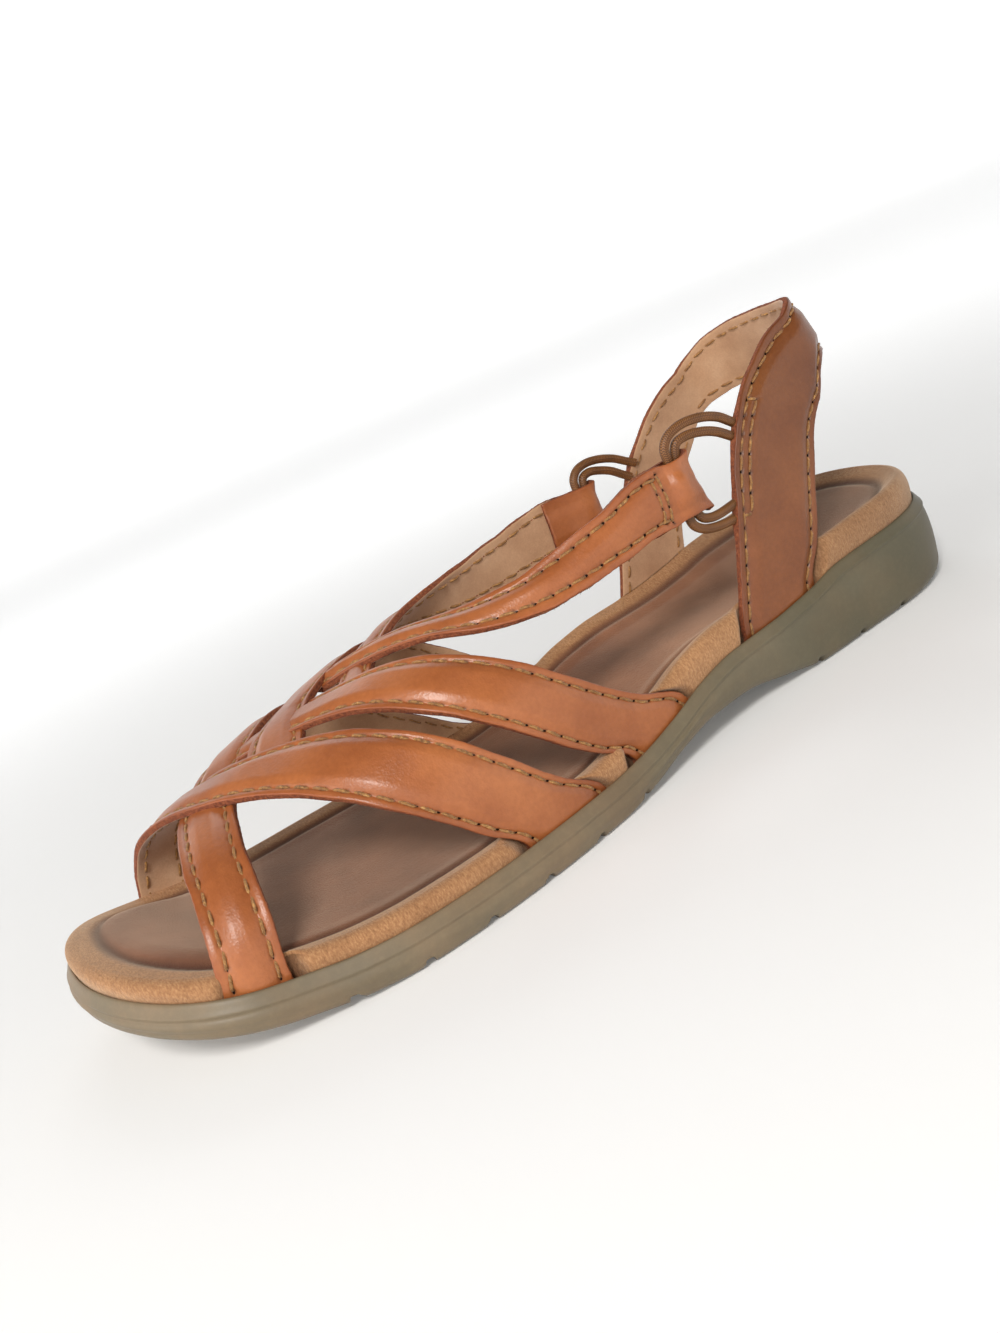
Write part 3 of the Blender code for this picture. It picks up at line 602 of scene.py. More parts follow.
class StitchRow:
    """A row of stitches a given way in from one edge of a ribbon, between two values of t."""

    def __init__(self, ribbon, edge, inset, first, last):
        self.edge, self.inset = edge, inset
        self.t = np.linspace(first, last, 1500)
        width = ribbon.width(self.t)
        share = inset / width
        step = 0.6 / width
        if edge == 1:
            share = 1 - share
        grid, lift = ribbon.at(self.t, np.stack([share - step, share, share + step], axis=1))
        out = outward(grid, foot_hint(grid))
        self.base = grid[:, 1] + out[:, 1] * lift[:, 1:2]
        self.out = out[:, 1]
        self.run = lengths(self.base)
        count = max(1, round(self.run[-1] / PITCH))
        self.holes = np.linspace(0, self.run[-1], count + 1)

    def pinch(self, t, distance):
        """How strongly the row's needle holes draw in points at t, at a distance from its edge."""
        run = np.interp(t, self.t, self.run, left=-99, right=self.run[-1] + 99)
        nearest = np.min(np.abs(run[:, None] - self.holes[None, :]), axis=1)
        return bell(nearest, HOLE)[:, None] * bell(distance - self.inset, HOLE)

    def drawn(self, t, distance):
        """How strongly the row draws in points at t, at a distance from its edge."""
        inside = (t >= self.t[0]) & (t <= self.t[-1])
        return inside[:, None] * bell(distance - self.inset, GROOVE_REACH)


# ------------------------------------------------------------------ meshes

OUTER, CUT, INNER = range(3)                 # a strap's materials: outer face, cut edge, inner face


def mesh_piece(name, points, faces, materials, kinds=None, values=None):
    """A smooth-shaded mesh. kinds are the numbers of its faces' materials, and values is a
    dictionary of numbers for each point, kept as attributes for the materials."""
    mesh = bpy.data.meshes.new(name)
    mesh.vertices.add(len(points))
    mesh.vertices.foreach_set("co", place(points).astype(np.float32).ravel())
    faces = [tuple(face) for face in faces]
    sizes = np.array([len(face) for face in faces], dtype=np.int32)
    mesh.loops.add(int(sizes.sum()))
    corners = np.concatenate([np.array(face) for face in faces])
    mesh.loops.foreach_set("vertex_index", corners.astype(np.int32))
    mesh.polygons.add(len(faces))
    starts = np.concatenate([[0], np.cumsum(sizes)[:-1]])
    mesh.polygons.foreach_set("loop_start", starts.astype(np.int32))
    for material in materials:
        mesh.materials.append(material)
    if kinds is not None:
        mesh.polygons.foreach_set("material_index", np.asarray(kinds, dtype=np.int32))
    for label, value in (values or {}).items():
        layer = mesh.attributes.new(label, "FLOAT", "POINT")
        layer.data.foreach_set("value", np.asarray(value, dtype=np.float32).ravel())
    mesh.update(calc_edges=True)
    mesh.validate()
    turned = bmesh.new()
    turned.from_mesh(mesh)
    bmesh.ops.recalc_face_normals(turned, faces=turned.faces)
    turned.to_mesh(mesh)
    turned.free()
    mesh.shade_smooth()
    piece = bpy.data.objects.new(name, mesh)
    bpy.context.scene.collection.objects.link(piece)
    return piece


def grid_faces(rows, columns):
    """Quads over a grid numbered row by row, whose last column joins its first."""
    i = np.arange(rows - 1)[:, None]
    j = np.arange(columns)[None, :]
    k = (j + 1) % columns
    near, far = i * columns, (i + 1) * columns
    return np.stack([near + j, near + k, far + k, far + j], -1).reshape(-1, 4)


def frayed_hairs(edges, rng):
    """Fine fibres that stand out of a strap's cut edges. edges is a list of (points, directions)."""
    paths, radii = [], []
    steps = np.array([-0.15, 0.4, 1.0])[:, None]
    for points, directions in edges:
        away = unit(directions)
        for i in rng.integers(2, len(points) - 2, int(HAIRS * len(points) * ROW_STEP)):
            reach = rng.uniform(*HAIR_REACH)
            lean = rng.normal(0, 0.4, 3)
            bend = rng.normal(0, 0.2, 3)
            paths.append(points[i] + reach * (away[i] + lean) * steps + bend * reach * steps ** 2)
            radii.append(HAIR_RADII)
    return tubes(paths, radii, 3)


def shell(name, top, bottom, materials, values, seed):
    """A closed leather sheet between two grids: outer face, cut edges with a fuzz, inner face."""
    rng = np.random.default_rng(seed)
    rows, columns = top.shape[:2]
    wall = (0.3, 0.55, 0.8)

    def side(j, towards):
        fall = bottom[:, j] - top[:, j]
        parts = []
        for share in wall:
            fuzz = rng.uniform(*FUZZ, rows) - 0.08 * abs(share - 0.55)
            parts.append(top[:, j] + fall * share + unit(towards) * fuzz[:, None])
        return np.stack(parts, axis=1)

    right = side(-1, top[:, -1] - top[:, -2])
    left = side(0, top[:, 0] - top[:, 1])
    kept = np.unique(np.concatenate([np.arange(0, columns, 3), [1, columns - 2, columns - 1]]))
    under = bottom[:, kept[::-1]]
    ring = np.concatenate([top, right, under, left[:, ::-1]], axis=1)
    around = ring.shape[1]
    faces = [tuple(face) for face in grid_faces(rows, around)]
    walls = [CUT] * (len(wall) + 1)
    kinds = [OUTER] * (columns - 1) + walls + [INNER] * (len(kept) - 1) + walls
    kinds = kinds * (rows - 1) + [CUT, CUT]
    faces.append(tuple(range(around))[::-1])
    faces.append(tuple((rows - 1) * around + j for j in range(around)))
    edges = ((left[:, 1], left[:, 1] - top[:, 2]), (right[:, 1], right[:, 1] - top[:, -3]))
    hairs, hair_faces = frayed_hairs(edges, rng)
    faces += [tuple(k + rows * around for k in face) for face in hair_faces]
    kinds += [CUT] * len(hair_faces)
    flat = {}
    for label, value in values.items():
        spread = np.zeros((rows, around))
        spread[:, :columns] = value
        flat[label] = np.concatenate([spread.ravel(), np.zeros(len(hairs))])
    return mesh_piece(name, np.concatenate([ring.reshape(-1, 3), hairs]), faces, materials, kinds, flat)


def tubes(paths, radii, sides):
    """Points and faces of tubes along paths. radii has a number for each point of each path, or
    one for each side there."""
    points, faces = [], []
    start = 0
    turn = full_turn(sides)[:, None]
    for path, radius in zip(paths, radii):
        along = unit(np.gradient(path, axis=0))
        guide = np.array([0.0, 0.0, 1.0]) if abs(along[0, 2]) < 0.8 else np.array([1.0, 0.0, 0.0])
        frames = []
        for direction in along:
            guide = unit(guide - direction * np.dot(guide, direction))
            frames.append(guide)
        first = np.array(frames)
        second = np.cross(along, first)
        ring = first[:, None] * np.cos(turn) + second[:, None] * np.sin(turn)
        radius = np.reshape(radius, (len(path), -1)) * np.ones((1, sides))
        points.append((path[:, None] + ring * radius[..., None]).reshape(-1, 3))
        quads = grid_faces(len(path), sides) + start
        faces.extend(tuple(f) for f in quads)
        faces.append(tuple(start + np.arange(sides))[::-1])
        faces.append(tuple(start + (len(path) - 1) * sides + np.arange(sides)))
        start += len(path) * sides
    return np.concatenate(points), faces


def yarn_paths(line, out, heights, rng, plies):
    """The plies of one stitch from the first point of a line to its last."""
    across = np.cross(out, unit(np.gradient(line, axis=0)))
    run = lengths(line)
    phase = rng.uniform(0, 2 * math.pi)
    slant = rng.uniform(0.05, 0.2) * np.sin(np.linspace(-math.pi / 2, math.pi / 2, len(line)))
    core = line + out * heights[:, None] + across * slant[:, None]
    paths = []
    spread = PLY * 0.9 if plies > 1 else 0.0
    for k in range(plies):
        angle = phase + 2 * math.pi * (k / plies + run / 2.1)
        paths.append(core + spread * (across * np.cos(angle)[:, None] + out * np.sin(angle)[:, None]))
    return paths


def sew(name, runs, materials, seed):
    """All the stitches of a strap, and the dark plugs in its needle holes, which are painted shade, as
    one piece. runs is a list of (points, normals, holes, plies)."""
    rng = np.random.default_rng(seed)
    paths, radii, pits, pit_radii = [], [], [], []
    for points, out, holes, plies in runs:
        run = lengths(points)
        knots = 14 if plies > 1 else 8
        for first, second in zip(holes[:-1], holes[1:]):
            x = np.linspace(first + 0.34, second - 0.34, knots)
            line = read_along(points, run, x)
            arch = np.sin(np.linspace(0, math.pi, knots)) ** 0.5
            for path in yarn_paths(line, read_along(out, run, x), 0.76 * arch - 0.52, rng, plies):
                paths.append(path)
                radii.append(np.full(knots, PLY if plies > 1 else 1.6 * PLY))
        # A near-black plug in each needle hole: painted shade.
        if plies > 1:
            up = read_along(out, run, holes)[:, None] * np.array(PIT_HEIGHTS)[None, :, None]
            pits.extend(read_along(points, run, holes)[:, None] + up)
            pit_radii.extend(np.array(PIT_RADII) * size for size in rng.uniform(0.85, 1.1, len(holes)))
    points, faces = tubes(paths, radii, 5)
    kinds = [0] * len(faces)
    if pits:
        pit_points, pit_faces = tubes(pits, pit_radii, 7)
        faces += [tuple(k + len(points) for k in face) for face in pit_faces]
        kinds += [1] * len(pit_faces)
        points = np.concatenate([points, pit_points])
    piece = mesh_piece(name, points, faces, materials, kinds)
    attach(piece, "root")
    return piece


# ------------------------------------------------------------------ materials

WHITE = (1.0, 1.0, 1.0)


def shader_tree(name, **settings):
    """A material, its node tree and its shader. The settings are values of the shader's sockets,
    with _ for a space in their names."""
    material = bpy.data.materials.new(name)
    material.use_nodes = True
    tree = material.node_tree
    shader = tree.nodes["Principled BSDF"]
    for label, value in settings.items():
        shader.inputs[label.replace("_", " ")].default_value = value
    return material, tree, shader


def noise(tree, scale, detail, roughness=0.5, stretch=None):
    """A noise texture in object space; scale is the number of cells in a millimetre."""
    where = tree.nodes.new("ShaderNodeTexCoord")
    made = tree.nodes.new("ShaderNodeTexNoise")
    made.inputs["Scale"].default_value = scale / MM
    made.inputs["Detail"].default_value = detail
    made.inputs["Roughness"].default_value = roughness
    source = where.outputs["Object"]
    if stretch:
        mapping = tree.nodes.new("ShaderNodeMapping")
        mapping.inputs["Scale"].default_value = stretch
        tree.links.new(source, mapping.inputs["Vector"])
        source = mapping.outputs["Vector"]
    tree.links.new(source, made.inputs["Vector"])
    return made.outputs["Fac"]


def cells(tree, scale):
    """Distance to the nearest of scattered points; scale is the number of cells in a millimetre."""
    where = tree.nodes.new("ShaderNodeTexCoord")
    made = tree.nodes.new("ShaderNodeTexVoronoi")
    made.inputs["Scale"].default_value = scale / MM
    tree.links.new(where.outputs["Object"], made.inputs["Vector"])
    return made.outputs["Distance"]


def attribute(tree, name):
    """One of the numbers that a mesh keeps for each point."""
    made = tree.nodes.new("ShaderNodeAttribute")
    made.attribute_name = name
    return made.outputs["Fac"]


def times_plus(tree, value, factor, addend):
    """value * factor + addend, as a node."""
    made = tree.nodes.new("ShaderNodeMath")
    made.operation = "MULTIPLY_ADD"
    tree.links.new(value, made.inputs[0])
    made.inputs[1].default_value = factor
    made.inputs[2].default_value = addend
    return made.outputs["Value"]


def along_sole(tree):
    """0 at the back of the heel, 1 at the tip of the toe."""
    where = tree.nodes.new("ShaderNodeTexCoord")
    split = tree.nodes.new("ShaderNodeSeparateXYZ")
    tree.links.new(where.outputs["Object"], split.inputs["Vector"])
    return times_plus(tree, split.outputs["X"], -1 / (LENGTH * MM), 0.5)


def ramp(tree, factor, stops):
    """A colour ramp; stops are (position, colour)."""
    made = tree.nodes.new("ShaderNodeValToRGB")
    elements = made.color_ramp.elements
    while len(elements) < len(stops):
        elements.new(0.5)
    for element, (position, colour) in zip(elements, stops):
        element.position = position
        element.color = (*colour, 1)
    tree.links.new(factor, made.inputs["Fac"])
    return made.outputs["Color"]


def blend(tree, factor, first, second, mode="MIX"):
    """Two colours, mixed by factor; each is a colour or a node's output."""
    made = tree.nodes.new("ShaderNodeMix")
    made.data_type = "RGBA"
    made.blend_type = mode
    for name, value in (("Factor", factor), ("A", first), ("B", second)):
        socket = next(s for s in made.inputs if s.name == name and s.type in
                      (("VALUE",) if name == "Factor" else ("RGBA",)))
        if isinstance(value, (int, float)):
            socket.default_value = value
        elif isinstance(value, tuple):
            socket.default_value = (*value, 1)
        else:
            tree.links.new(value, socket)
    return next(s for s in made.outputs if s.type == "RGBA")


def tint(tree, colour, weight, factor, stops):
    """A colour multiplied, by weight, by a ramp of factor."""
    return blend(tree, weight, colour, ramp(tree, factor, stops), "MULTIPLY")


def bump(tree, height, distance, strength, under=None):
    """A bump node; distance is the height in millimetres of a full step."""
    made = tree.nodes.new("ShaderNodeBump")
    made.inputs["Strength"].default_value = strength
    made.inputs["Distance"].default_value = distance * MM
    tree.links.new(height, made.inputs["Height"])
    if under is not None:
        tree.links.new(under, made.inputs["Normal"])
    return made.outputs["Normal"]


def wire(tree, shader, **outputs):
    """Links outputs of nodes to the shader's sockets, with _ for a space in their names."""
    for label, output in outputs.items():
        tree.links.new(output, shader.inputs[label.replace("_", " ")])


def tan_leather():
    """Smooth cognac leather: fine pores, soft clouding, needle holes and the back strap painted darker as
    shade, a waxy gloss.
    """
    material, tree, shader = shader_tree(
        "tan_leather_finish", Specular_IOR_Level=0.46, Coat_Weight=0.10, Coat_Roughness=0.26)
    colour = ramp(tree, noise(tree, 0.045, 4, 0.55), [
        (0.30, (0.285, 0.080, 0.022)), (0.50, (0.368, 0.113, 0.033)), (0.70, (0.445, 0.148, 0.047))])
    colour = tint(tree, colour, 0.5, noise(tree, 0.9, 3), [(0.35, (0.80, 0.78, 0.76)), (0.65, WHITE)])
    # Painted shade: this darkens the back strap, which alone sets the value; on the other straps it is 0.
    colour = tint(tree, colour, 1.0, attribute(tree, "painted_shade"), [(0.0, WHITE), (1.0, (0.41, 0.40, 0.30))])
    colour = tint(tree, colour, 1.0, attribute(tree, "edge"), [(0.0, WHITE), (1.0, (0.80, 0.66, 0.58))])
    # Painted shade: near black at the needle holes.
    colour = blend(tree, attribute(tree, "hole"), colour, (0.012, 0.006, 0.004))
    gloss = times_plus(tree, noise(tree, 0.16, 4), 0.22, 0.24)
    pores = bump(tree, cells(tree, 1.9), 0.06, 0.5)
    grain = bump(tree, noise(tree, 1.5, 5, 0.6), 0.12, 0.5, pores)
    soft = bump(tree, noise(tree, 0.10, 2), 0.5, 0.20, grain)
    wire(tree, shader, Base_Color=colour, Roughness=gloss, Normal=soft)
    return material


def cut_edge():
    """The raw, frayed cut edge of the leather."""
    material, tree, shader = shader_tree("cut_edge_finish", Roughness=0.85)
    colour = ramp(tree, noise(tree, 1.4, 5, 0.7), [
        (0.32, (0.10, 0.022, 0.008)), (0.52, (0.235, 0.060, 0.020)), (0.75, (0.42, 0.145, 0.055))])
    wire(tree, shader, Base_Color=colour, Normal=bump(tree, noise(tree, 2.2, 5, 0.7), 0.3, 0.8))
    return material


def lining():
    """Beige lining suede."""
    material, tree, shader = shader_tree(
        "lining_finish", Roughness=0.8, Sheen_Weight=0.35, Sheen_Roughness=0.5)
    colour = ramp(tree, noise(tree, 0.07, 5, 0.6), [
        (0.3, (0.42, 0.225, 0.115)), (0.55, (0.54, 0.315, 0.175)), (0.75, (0.62, 0.39, 0.235))])
    colour = tint(tree, colour, 0.7, noise(tree, 2.0, 4), [(0.3, (0.84, 0.82, 0.80)), (0.7, WHITE)])
    # Painted shade: dark at the needle holes.
    colour = blend(tree, attribute(tree, "hole"), colour, (0.05, 0.02, 0.01))
    wire(tree, shader, Base_Color=colour, Normal=bump(tree, noise(tree, 1.6, 5, 0.65), 0.14, 0.6))
    return material


def footbed_suede():
    """Suede: golden napped rim, browner and smoother where the foot rests; painted shade in the groove,
    behind the straps, at the heel and over the forefoot.
    """
    material, tree, shader = shader_tree(
        "footbed_suede_finish", Roughness=0.86,
        Sheen_Weight=0.5, Sheen_Roughness=0.45, Sheen_Tint=(1.0, 0.80, 0.60, 1))
    strokes = noise(tree, 1.7, 6, 0.72, (1.5, 0.6, 0.6))
    nap = ramp(tree, strokes, [
        (0.30, (0.265, 0.120, 0.048)), (0.50, (0.435, 0.218, 0.092)), (0.72, (0.62, 0.360, 0.17))])
    nap = tint(tree, nap, 1.0, noise(tree, 0.12, 3), [(0.35, (0.86, 0.84, 0.82)), (0.65, WHITE)])
    # Painted shade: the nap darker at the heel and a little darker over the forefoot.
    nap = tint(tree, nap, 1.0, along_sole(tree), [
        (0.04, (0.66, 0.66, 0.68)), (0.22, (0.82, 0.81, 0.82)), (0.36, (1.0, 0.98, 0.96)),
        (0.60, (0.90, 0.86, 0.84))])
    # The worn middle's own colour, then painted shade on it.
    worn_and_shaded = ramp(tree, noise(tree, 0.05, 5, 0.6), [
        (0.30, (0.20, 0.080, 0.038)), (0.55, (0.31, 0.132, 0.064)), (0.78, (0.40, 0.185, 0.095))])
    worn_and_shaded = tint(tree, worn_and_shaded, 0.6, noise(tree, 2.4, 5), [(0.3, (0.78, 0.76, 0.74)), (0.7, WHITE)])
    # Painted shade and light: darker at the heel and over the forefoot, lighter between them.
    worn_and_shaded = tint(tree, worn_and_shaded, 1.0, along_sole(tree), [
        (0.04, (0.50, 0.49, 0.50)), (0.20, (0.80, 0.78, 0.78)), (0.36, (1.12, 1.04, 0.98)),
        (0.58, (0.74, 0.66, 0.65))])
    colour = blend(tree, attribute(tree, "rim"), worn_and_shaded, nap)
    # Painted shade: dark in the groove and along the edge behind the straps.
    colour = tint(tree, colour, 1.0, attribute(tree, "groove"), [(0.0, WHITE), (1.0, (0.26, 0.20, 0.17))])
    coarse = bump(tree, strokes, 0.32, 0.7)
    fine = bump(tree, noise(tree, 3.0, 4, 0.6), 0.10, 0.6, coarse)
    wire(tree, shader, Base_Color=colour, Normal=fine)
    return material


def sole_rubber():
    """Grey-olive moulded rubber, semi-matte, with faint clouding and dust; painted shade towards the heel
    and painted light towards the toe.
    """
    material, tree, shader = shader_tree("sole_rubber_finish", Specular_IOR_Level=0.4)
    colour = ramp(tree, noise(tree, 0.03, 4, 0.6), [
        (0.3, (0.135, 0.118, 0.078)), (0.55, (0.165, 0.146, 0.098)), (0.8, (0.200, 0.178, 0.124))])
    colour = tint(tree, colour, 0.8, noise(tree, 0.7, 5, 0.7), [
        (0.45, (0.93, 0.93, 0.93)), (0.7, (1.06, 1.05, 1.03))])
    colour = tint(tree, colour, 1.0, noise(tree, 0.05, 3), [
        (0.40, (1.06, 1.0, 0.94)), (0.60, (0.91, 0.94, 0.93))])
    # Painted shade and light: darker towards the heel, lighter towards the toe.
    colour = tint(tree, colour, 1.0, along_sole(tree), [
        (0.05, (0.65, 0.63, 0.56)), (0.30, (0.84, 0.78, 0.71)), (0.60, (1.26, 1.08, 1.01))])
    gloss = times_plus(tree, noise(tree, 0.12, 4), 0.22, 0.36)
    grain = bump(tree, noise(tree, 1.8, 4, 0.6), 0.05, 0.35)
    wire(tree, shader, Base_Color=colour, Roughness=gloss, Normal=grain)
    return material


def thread_finish():
    """Waxed golden-brown thread."""
    material, tree, shader = shader_tree("thread_finish", Roughness=0.55, Sheen_Weight=0.2)
    wire(tree, shader, Base_Color=ramp(tree, noise(tree, 1.2, 4), [
        (0.3, (0.17, 0.070, 0.016)), (0.55, (0.32, 0.150, 0.038)), (0.75, (0.52, 0.28, 0.085))]))
    return material


def needle_hole():
    """Painted shade: the near-black plug put inside a needle hole."""
    return shader_tree(
        "needle_hole_finish", Base_Color=(0.010, 0.005, 0.003, 1), Roughness=0.9,
        Specular_IOR_Level=0.1)[0]


def elastic_finish():
    """Braided elastic: brown, with painted shade in the valleys between its strands and a golden painted
    highlight on their tops.
    """
    material, tree, shader = shader_tree("elastic_finish", Roughness=0.46, Specular_IOR_Level=0.36)
    # Painted shade and highlight: dark where the braid is low, golden where it is high.
    colour = ramp(tree, attribute(tree, "strand"), [
        (0.10, (0.055, 0.018, 0.006)), (0.50, (0.175, 0.070, 0.022)), (0.95, (0.38, 0.175, 0.060))])
    wire(tree, shader, Base_Color=tint(tree, colour, 1.0, noise(tree, 0.25, 3), [
        (0.3, (0.8, 0.8, 0.8)), (0.7, (1.1, 1.08, 1.05))]))
    return material


# ------------------------------------------------------------------ straps

def cord_bulge(points, ends, reach):
    """How far cords that enter a strap raise its faces near their ends."""
    lift = np.zeros(points.shape[:2])
    for end in ends:
        away = np.linalg.norm(points - np.array(end), axis=2)
        lift = np.maximum(lift, bell(away, reach))
    return lift


def strap_faces(ribbon, t, rows, fullness, seed):
    """A strap's outer and inner faces, normals and values, at rows t."""
    width = ribbon.width(t)
    share = shares(width)
    inner, lift = ribbon.at(t, share)
    out = outward(inner, foot_hint(inner))
    distance = width[:, None] * np.minimum(share, 1 - share)
    run = lengths(inner[:, inner.shape[1] // 2])
    across = unit(inner[:, -1] - inner[:, 0])
    for edge, sign in ((0, -1), (1, 1)):
        near = share < 0.5 if edge == 0 else share >= 0.5
        sway = SWAY * wander(run, 19.0, seed + edge) + 0.04 * wander(run, 1.9, seed + 9 + edge)
        shift = sway[:, None] * np.exp(-distance / 1.6) * near * sign
        inner = inner + across[:, None, :] * shift[..., None]
    swelling = fullness + 0.12 * wander(run, 30.0, seed + 3)[:, None]
    height = leather_height(distance, swelling, width[:, None] / 2)
    hole = np.zeros_like(distance)
    for row in rows:
        near = share < 0.5 if row.edge == 0 else share >= 0.5
        hole = np.maximum(hole, row.pinch(t, distance) * near)
        height = height - GROOVE * row.drawn(t, distance) * near
    height = height - DIP * hole
    top = inner + out * (lift + height)[..., None]
    corner = np.clip(1 - distance / 0.35, 0, 1)
    bottom = inner + out * (lift + 0.2 * corner ** 2)[..., None]
    # hole also sets how dark the needle holes are painted, as shade; the third value, 0 here, is the
    # painted shade that only the back strap gets.
    values = {"hole": hole, "edge": np.exp(-distance / 0.7), "painted_shade": 0 * distance}
    return top, bottom, out, values


def row_run(row, height, sign=1):
    """A stitch row as sew() takes it, at a height over the strap's inner face."""
    base = row.base + row.out * height
    return base, row.out * sign, row.holes, 3 if sign > 0 else 1


def groove_height(inset, fullness):
    """Height of the bottom of a stitch row's groove."""
    return float(leather_height(np.array(inset), fullness, 99.0)) - GROOVE


def both_faces(rows, fullness):
    """A strap's edge rows as sew() takes them, on its outer face and then on its inner one."""
    outer = [row_run(row, groove_height(STITCH_INSET, fullness)) for row in rows]
    return outer + [row_run(row, 0.0, -1) for row in rows]


def make_forefoot_strap(name, table, side, end, finishes, thread, seed):
    """A strap across the forefoot, and its stitches."""
    ribbon = Ribbon("across", table, side)
    final = ribbon.reach(end)
    t = ribbon.even(ROW_STEP, 0.0, final)
    rows = [StitchRow(ribbon, edge, STITCH_INSET, 0.0, final) for edge in (0, 1)]
    top, bottom, _, values = strap_faces(ribbon, t, rows, FULLNESS, seed)
    piece = shell(name, top, bottom, finishes, values, seed)
    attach(piece, "root")
    threads = sew(name + "_thread", both_faces(rows, FULLNESS), thread, seed)
    return [piece, threads]


class LoopFrame:
    """Where an instep strap's folded loop starts: its origin, and its directions towards the heel
    (back), outwards (facing) and across (wide, which is as long as the strap is wide)."""

    def __init__(self, ribbon, facing):
        ends, _ = ribbon.at(np.array([LOOP_START, 3 * LOOP_START]), [[0.0, 1 / 3, 2 / 3, 1.0]])
        centre, ahead = ends[0].mean(axis=0), ends[1].mean(axis=0)
        back = unit(centre - ahead)
        facing = unit(facing - back * np.dot(facing, back))
        wide = ends[0, -1] - ends[0, 0]
        wide -= back * np.dot(wide, back) + facing * np.dot(wide, facing)
        self.back, self.facing, self.wide = back, facing, wide
        self.width = np.linalg.norm(wide)
        self.origin = centre + facing * STRAP


def loop_path():
    """Outer face of an instep strap's folded end, (towards the heel, outwards), tail first."""
    tail = [(-6.5, -3.75), (-3.5, -3.95), (-0.5, -4.3), (2.0, -4.9), (4.6, -5.5), (6.8, -5.8)]
    fold = []
    for i in range(9):
        turn = math.radians(-80 + 20 * i)
        fold.append((9.3 + 3.2 * math.cos(turn), -2.7 + 3.1 * math.sin(turn)))
    face = [(7.4, 0.95), (5.0, 1.15), (2.8, 0.70), (1.1, 0.0)]
    return np.array(tail + fold + face)


def folded_loop(at):
    """The folded end's outer face and its normals, as rows that lead on to the strap's own."""
    path = smooth_at(loop_path(), np.linspace(0, 1, LOOP_ROWS))
    share = shares(np.array([at.width]))[0]
    distance = at.width * np.minimum(share, 1 - share)
    along = smoothstep(path[:, 0], 2.0, 9.0)
    slant = 1.9 * smoothstep(1 - share, 0.3, 1.0) - 1.7 * np.sin(math.pi * share)
    u = path[:, :1] + along[:, None] * slant[None, :]
    pillow = smoothstep(path[:, 0], 0.0, 3.4) * (1 - smoothstep(path[:, 0], 6.0, 12.0))
    pillow = pillow * (path[:, 1] > -2.6)
    v = path[:, 1:2] + pillow[:, None] * (1.5 * np.sin(math.pi * share) ** 0.8 - 0.4)[None, :]
    middle = at.origin + at.wide * (share[None, :, None] - 0.5)
    sheet = middle + at.back * u[..., None] + at.facing * v[..., None]
    hint = at.facing * (path[:, 1] + 2.6)[:, None] + at.back * (path[:, 0] - 6.0)[:, None] * 0.3
    normal = outward(sheet, np.repeat(hint[:, None], len(share), axis=1))
    rounding = leather_height(distance, FULLNESS, at.width / 2) - STRAP - FULLNESS
    return sheet + normal * rounding[None, :, None], normal


def draw_across(top, out, hole, at):
    """An outer face drawn in by the stitch rows across it, and how strongly its needle holes are painted
    dark, as shade.
    """
    for u_line, reach in CROSS_ROWS:
        u = np.sum((top - at.origin) * at.back, axis=-1)
        w = np.sum((top - at.origin) * at.wide, axis=-1) / at.width
        drawn = (np.abs(w) < at.width * reach) * bell(u - u_line, GROOVE_REACH)
        count = round(2 * reach * at.width / CROSS_PITCH)
        holes = np.linspace(-reach, reach, count + 1) * at.width
        nearest = np.min(np.abs(w[..., None] - holes), axis=-1)
        pit = bell(u - u_line, HOLE) * bell(nearest, HOLE)
        top = top - out * (GROOVE * drawn + DIP * pit)[..., None]
        hole = np.maximum(hole, pit)
    return top, hole


def cross_runs(at):
    """The stitch rows across an instep strap, as sew() takes them."""
    runs = []
    for u_line, reach in CROSS_ROWS:
        share = np.linspace(0.5 - reach, 0.5 + reach, 60)
        distance = at.width * np.minimum(share, 1 - share)
        height = leather_height(distance, FULLNESS, at.width / 2) - STRAP
        line = at.origin + at.back * u_line + at.wide * (share - 0.5)[:, None]
        line = line + at.facing * (height - GROOVE)[:, None]
        run = lengths(line)[-1]
        holes = np.linspace(0, run, round(run / CROSS_PITCH) + 1)
        runs.append((line, np.repeat(at.facing[None], len(line), axis=0), holes, 3))
    return runs


def make_instep_strap(name, table, side, finishes, thread, seed):
    """A strap over the instep: one leather sheet that folds round the elastic, and its lining."""
    tan, cut, beige = finishes
    ribbon = Ribbon("along", table, side)
    final = ribbon.reach(INSTEP_END)
    rows = [StitchRow(ribbon, edge, STITCH_INSET, LOOP_START + 0.012, final) for edge in (0, 1)]
    t = ribbon.even(ROW_STEP, LOOP_START, final)
    top, _, out, values = strap_faces(ribbon, t, rows, FULLNESS, seed)
    at = LoopFrame(ribbon, out[0].mean(axis=0))
    top, values["hole"] = draw_across(top, out, values["hole"], at)

    loop, normal = folded_loop(at)
    plain = np.zeros(loop.shape[:2])
    loop_values = {"hole": plain, "edge": plain + values["edge"][0], "painted_shade": plain}
    sheet = np.concatenate([loop, top])
    under = sheet - np.concatenate([normal, out]) * LEATHER
    both = {key: np.concatenate([loop_values[key], values[key]]) for key in values}
    piece = shell(name, sheet, under, (tan, cut, cut), both, seed)
    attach(piece, "root")

    t = ribbon.even(ROW_STEP, LOOP_START * 1.6, final)
    _, below, up, marks = strap_faces(ribbon, t, rows, FULLNESS, seed)
    marks = {key: 0 * value for key, value in marks.items()}
    above = below + up * (STRAP - LEATHER)
    backing = shell(name + "_lining", above, below, (beige, cut, beige), marks, seed + 5)
    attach(backing, "root")

    threads = sew(name + "_thread", both_faces(rows, FULLNESS) + cross_runs(at), thread, seed)
    return [piece, backing, threads]


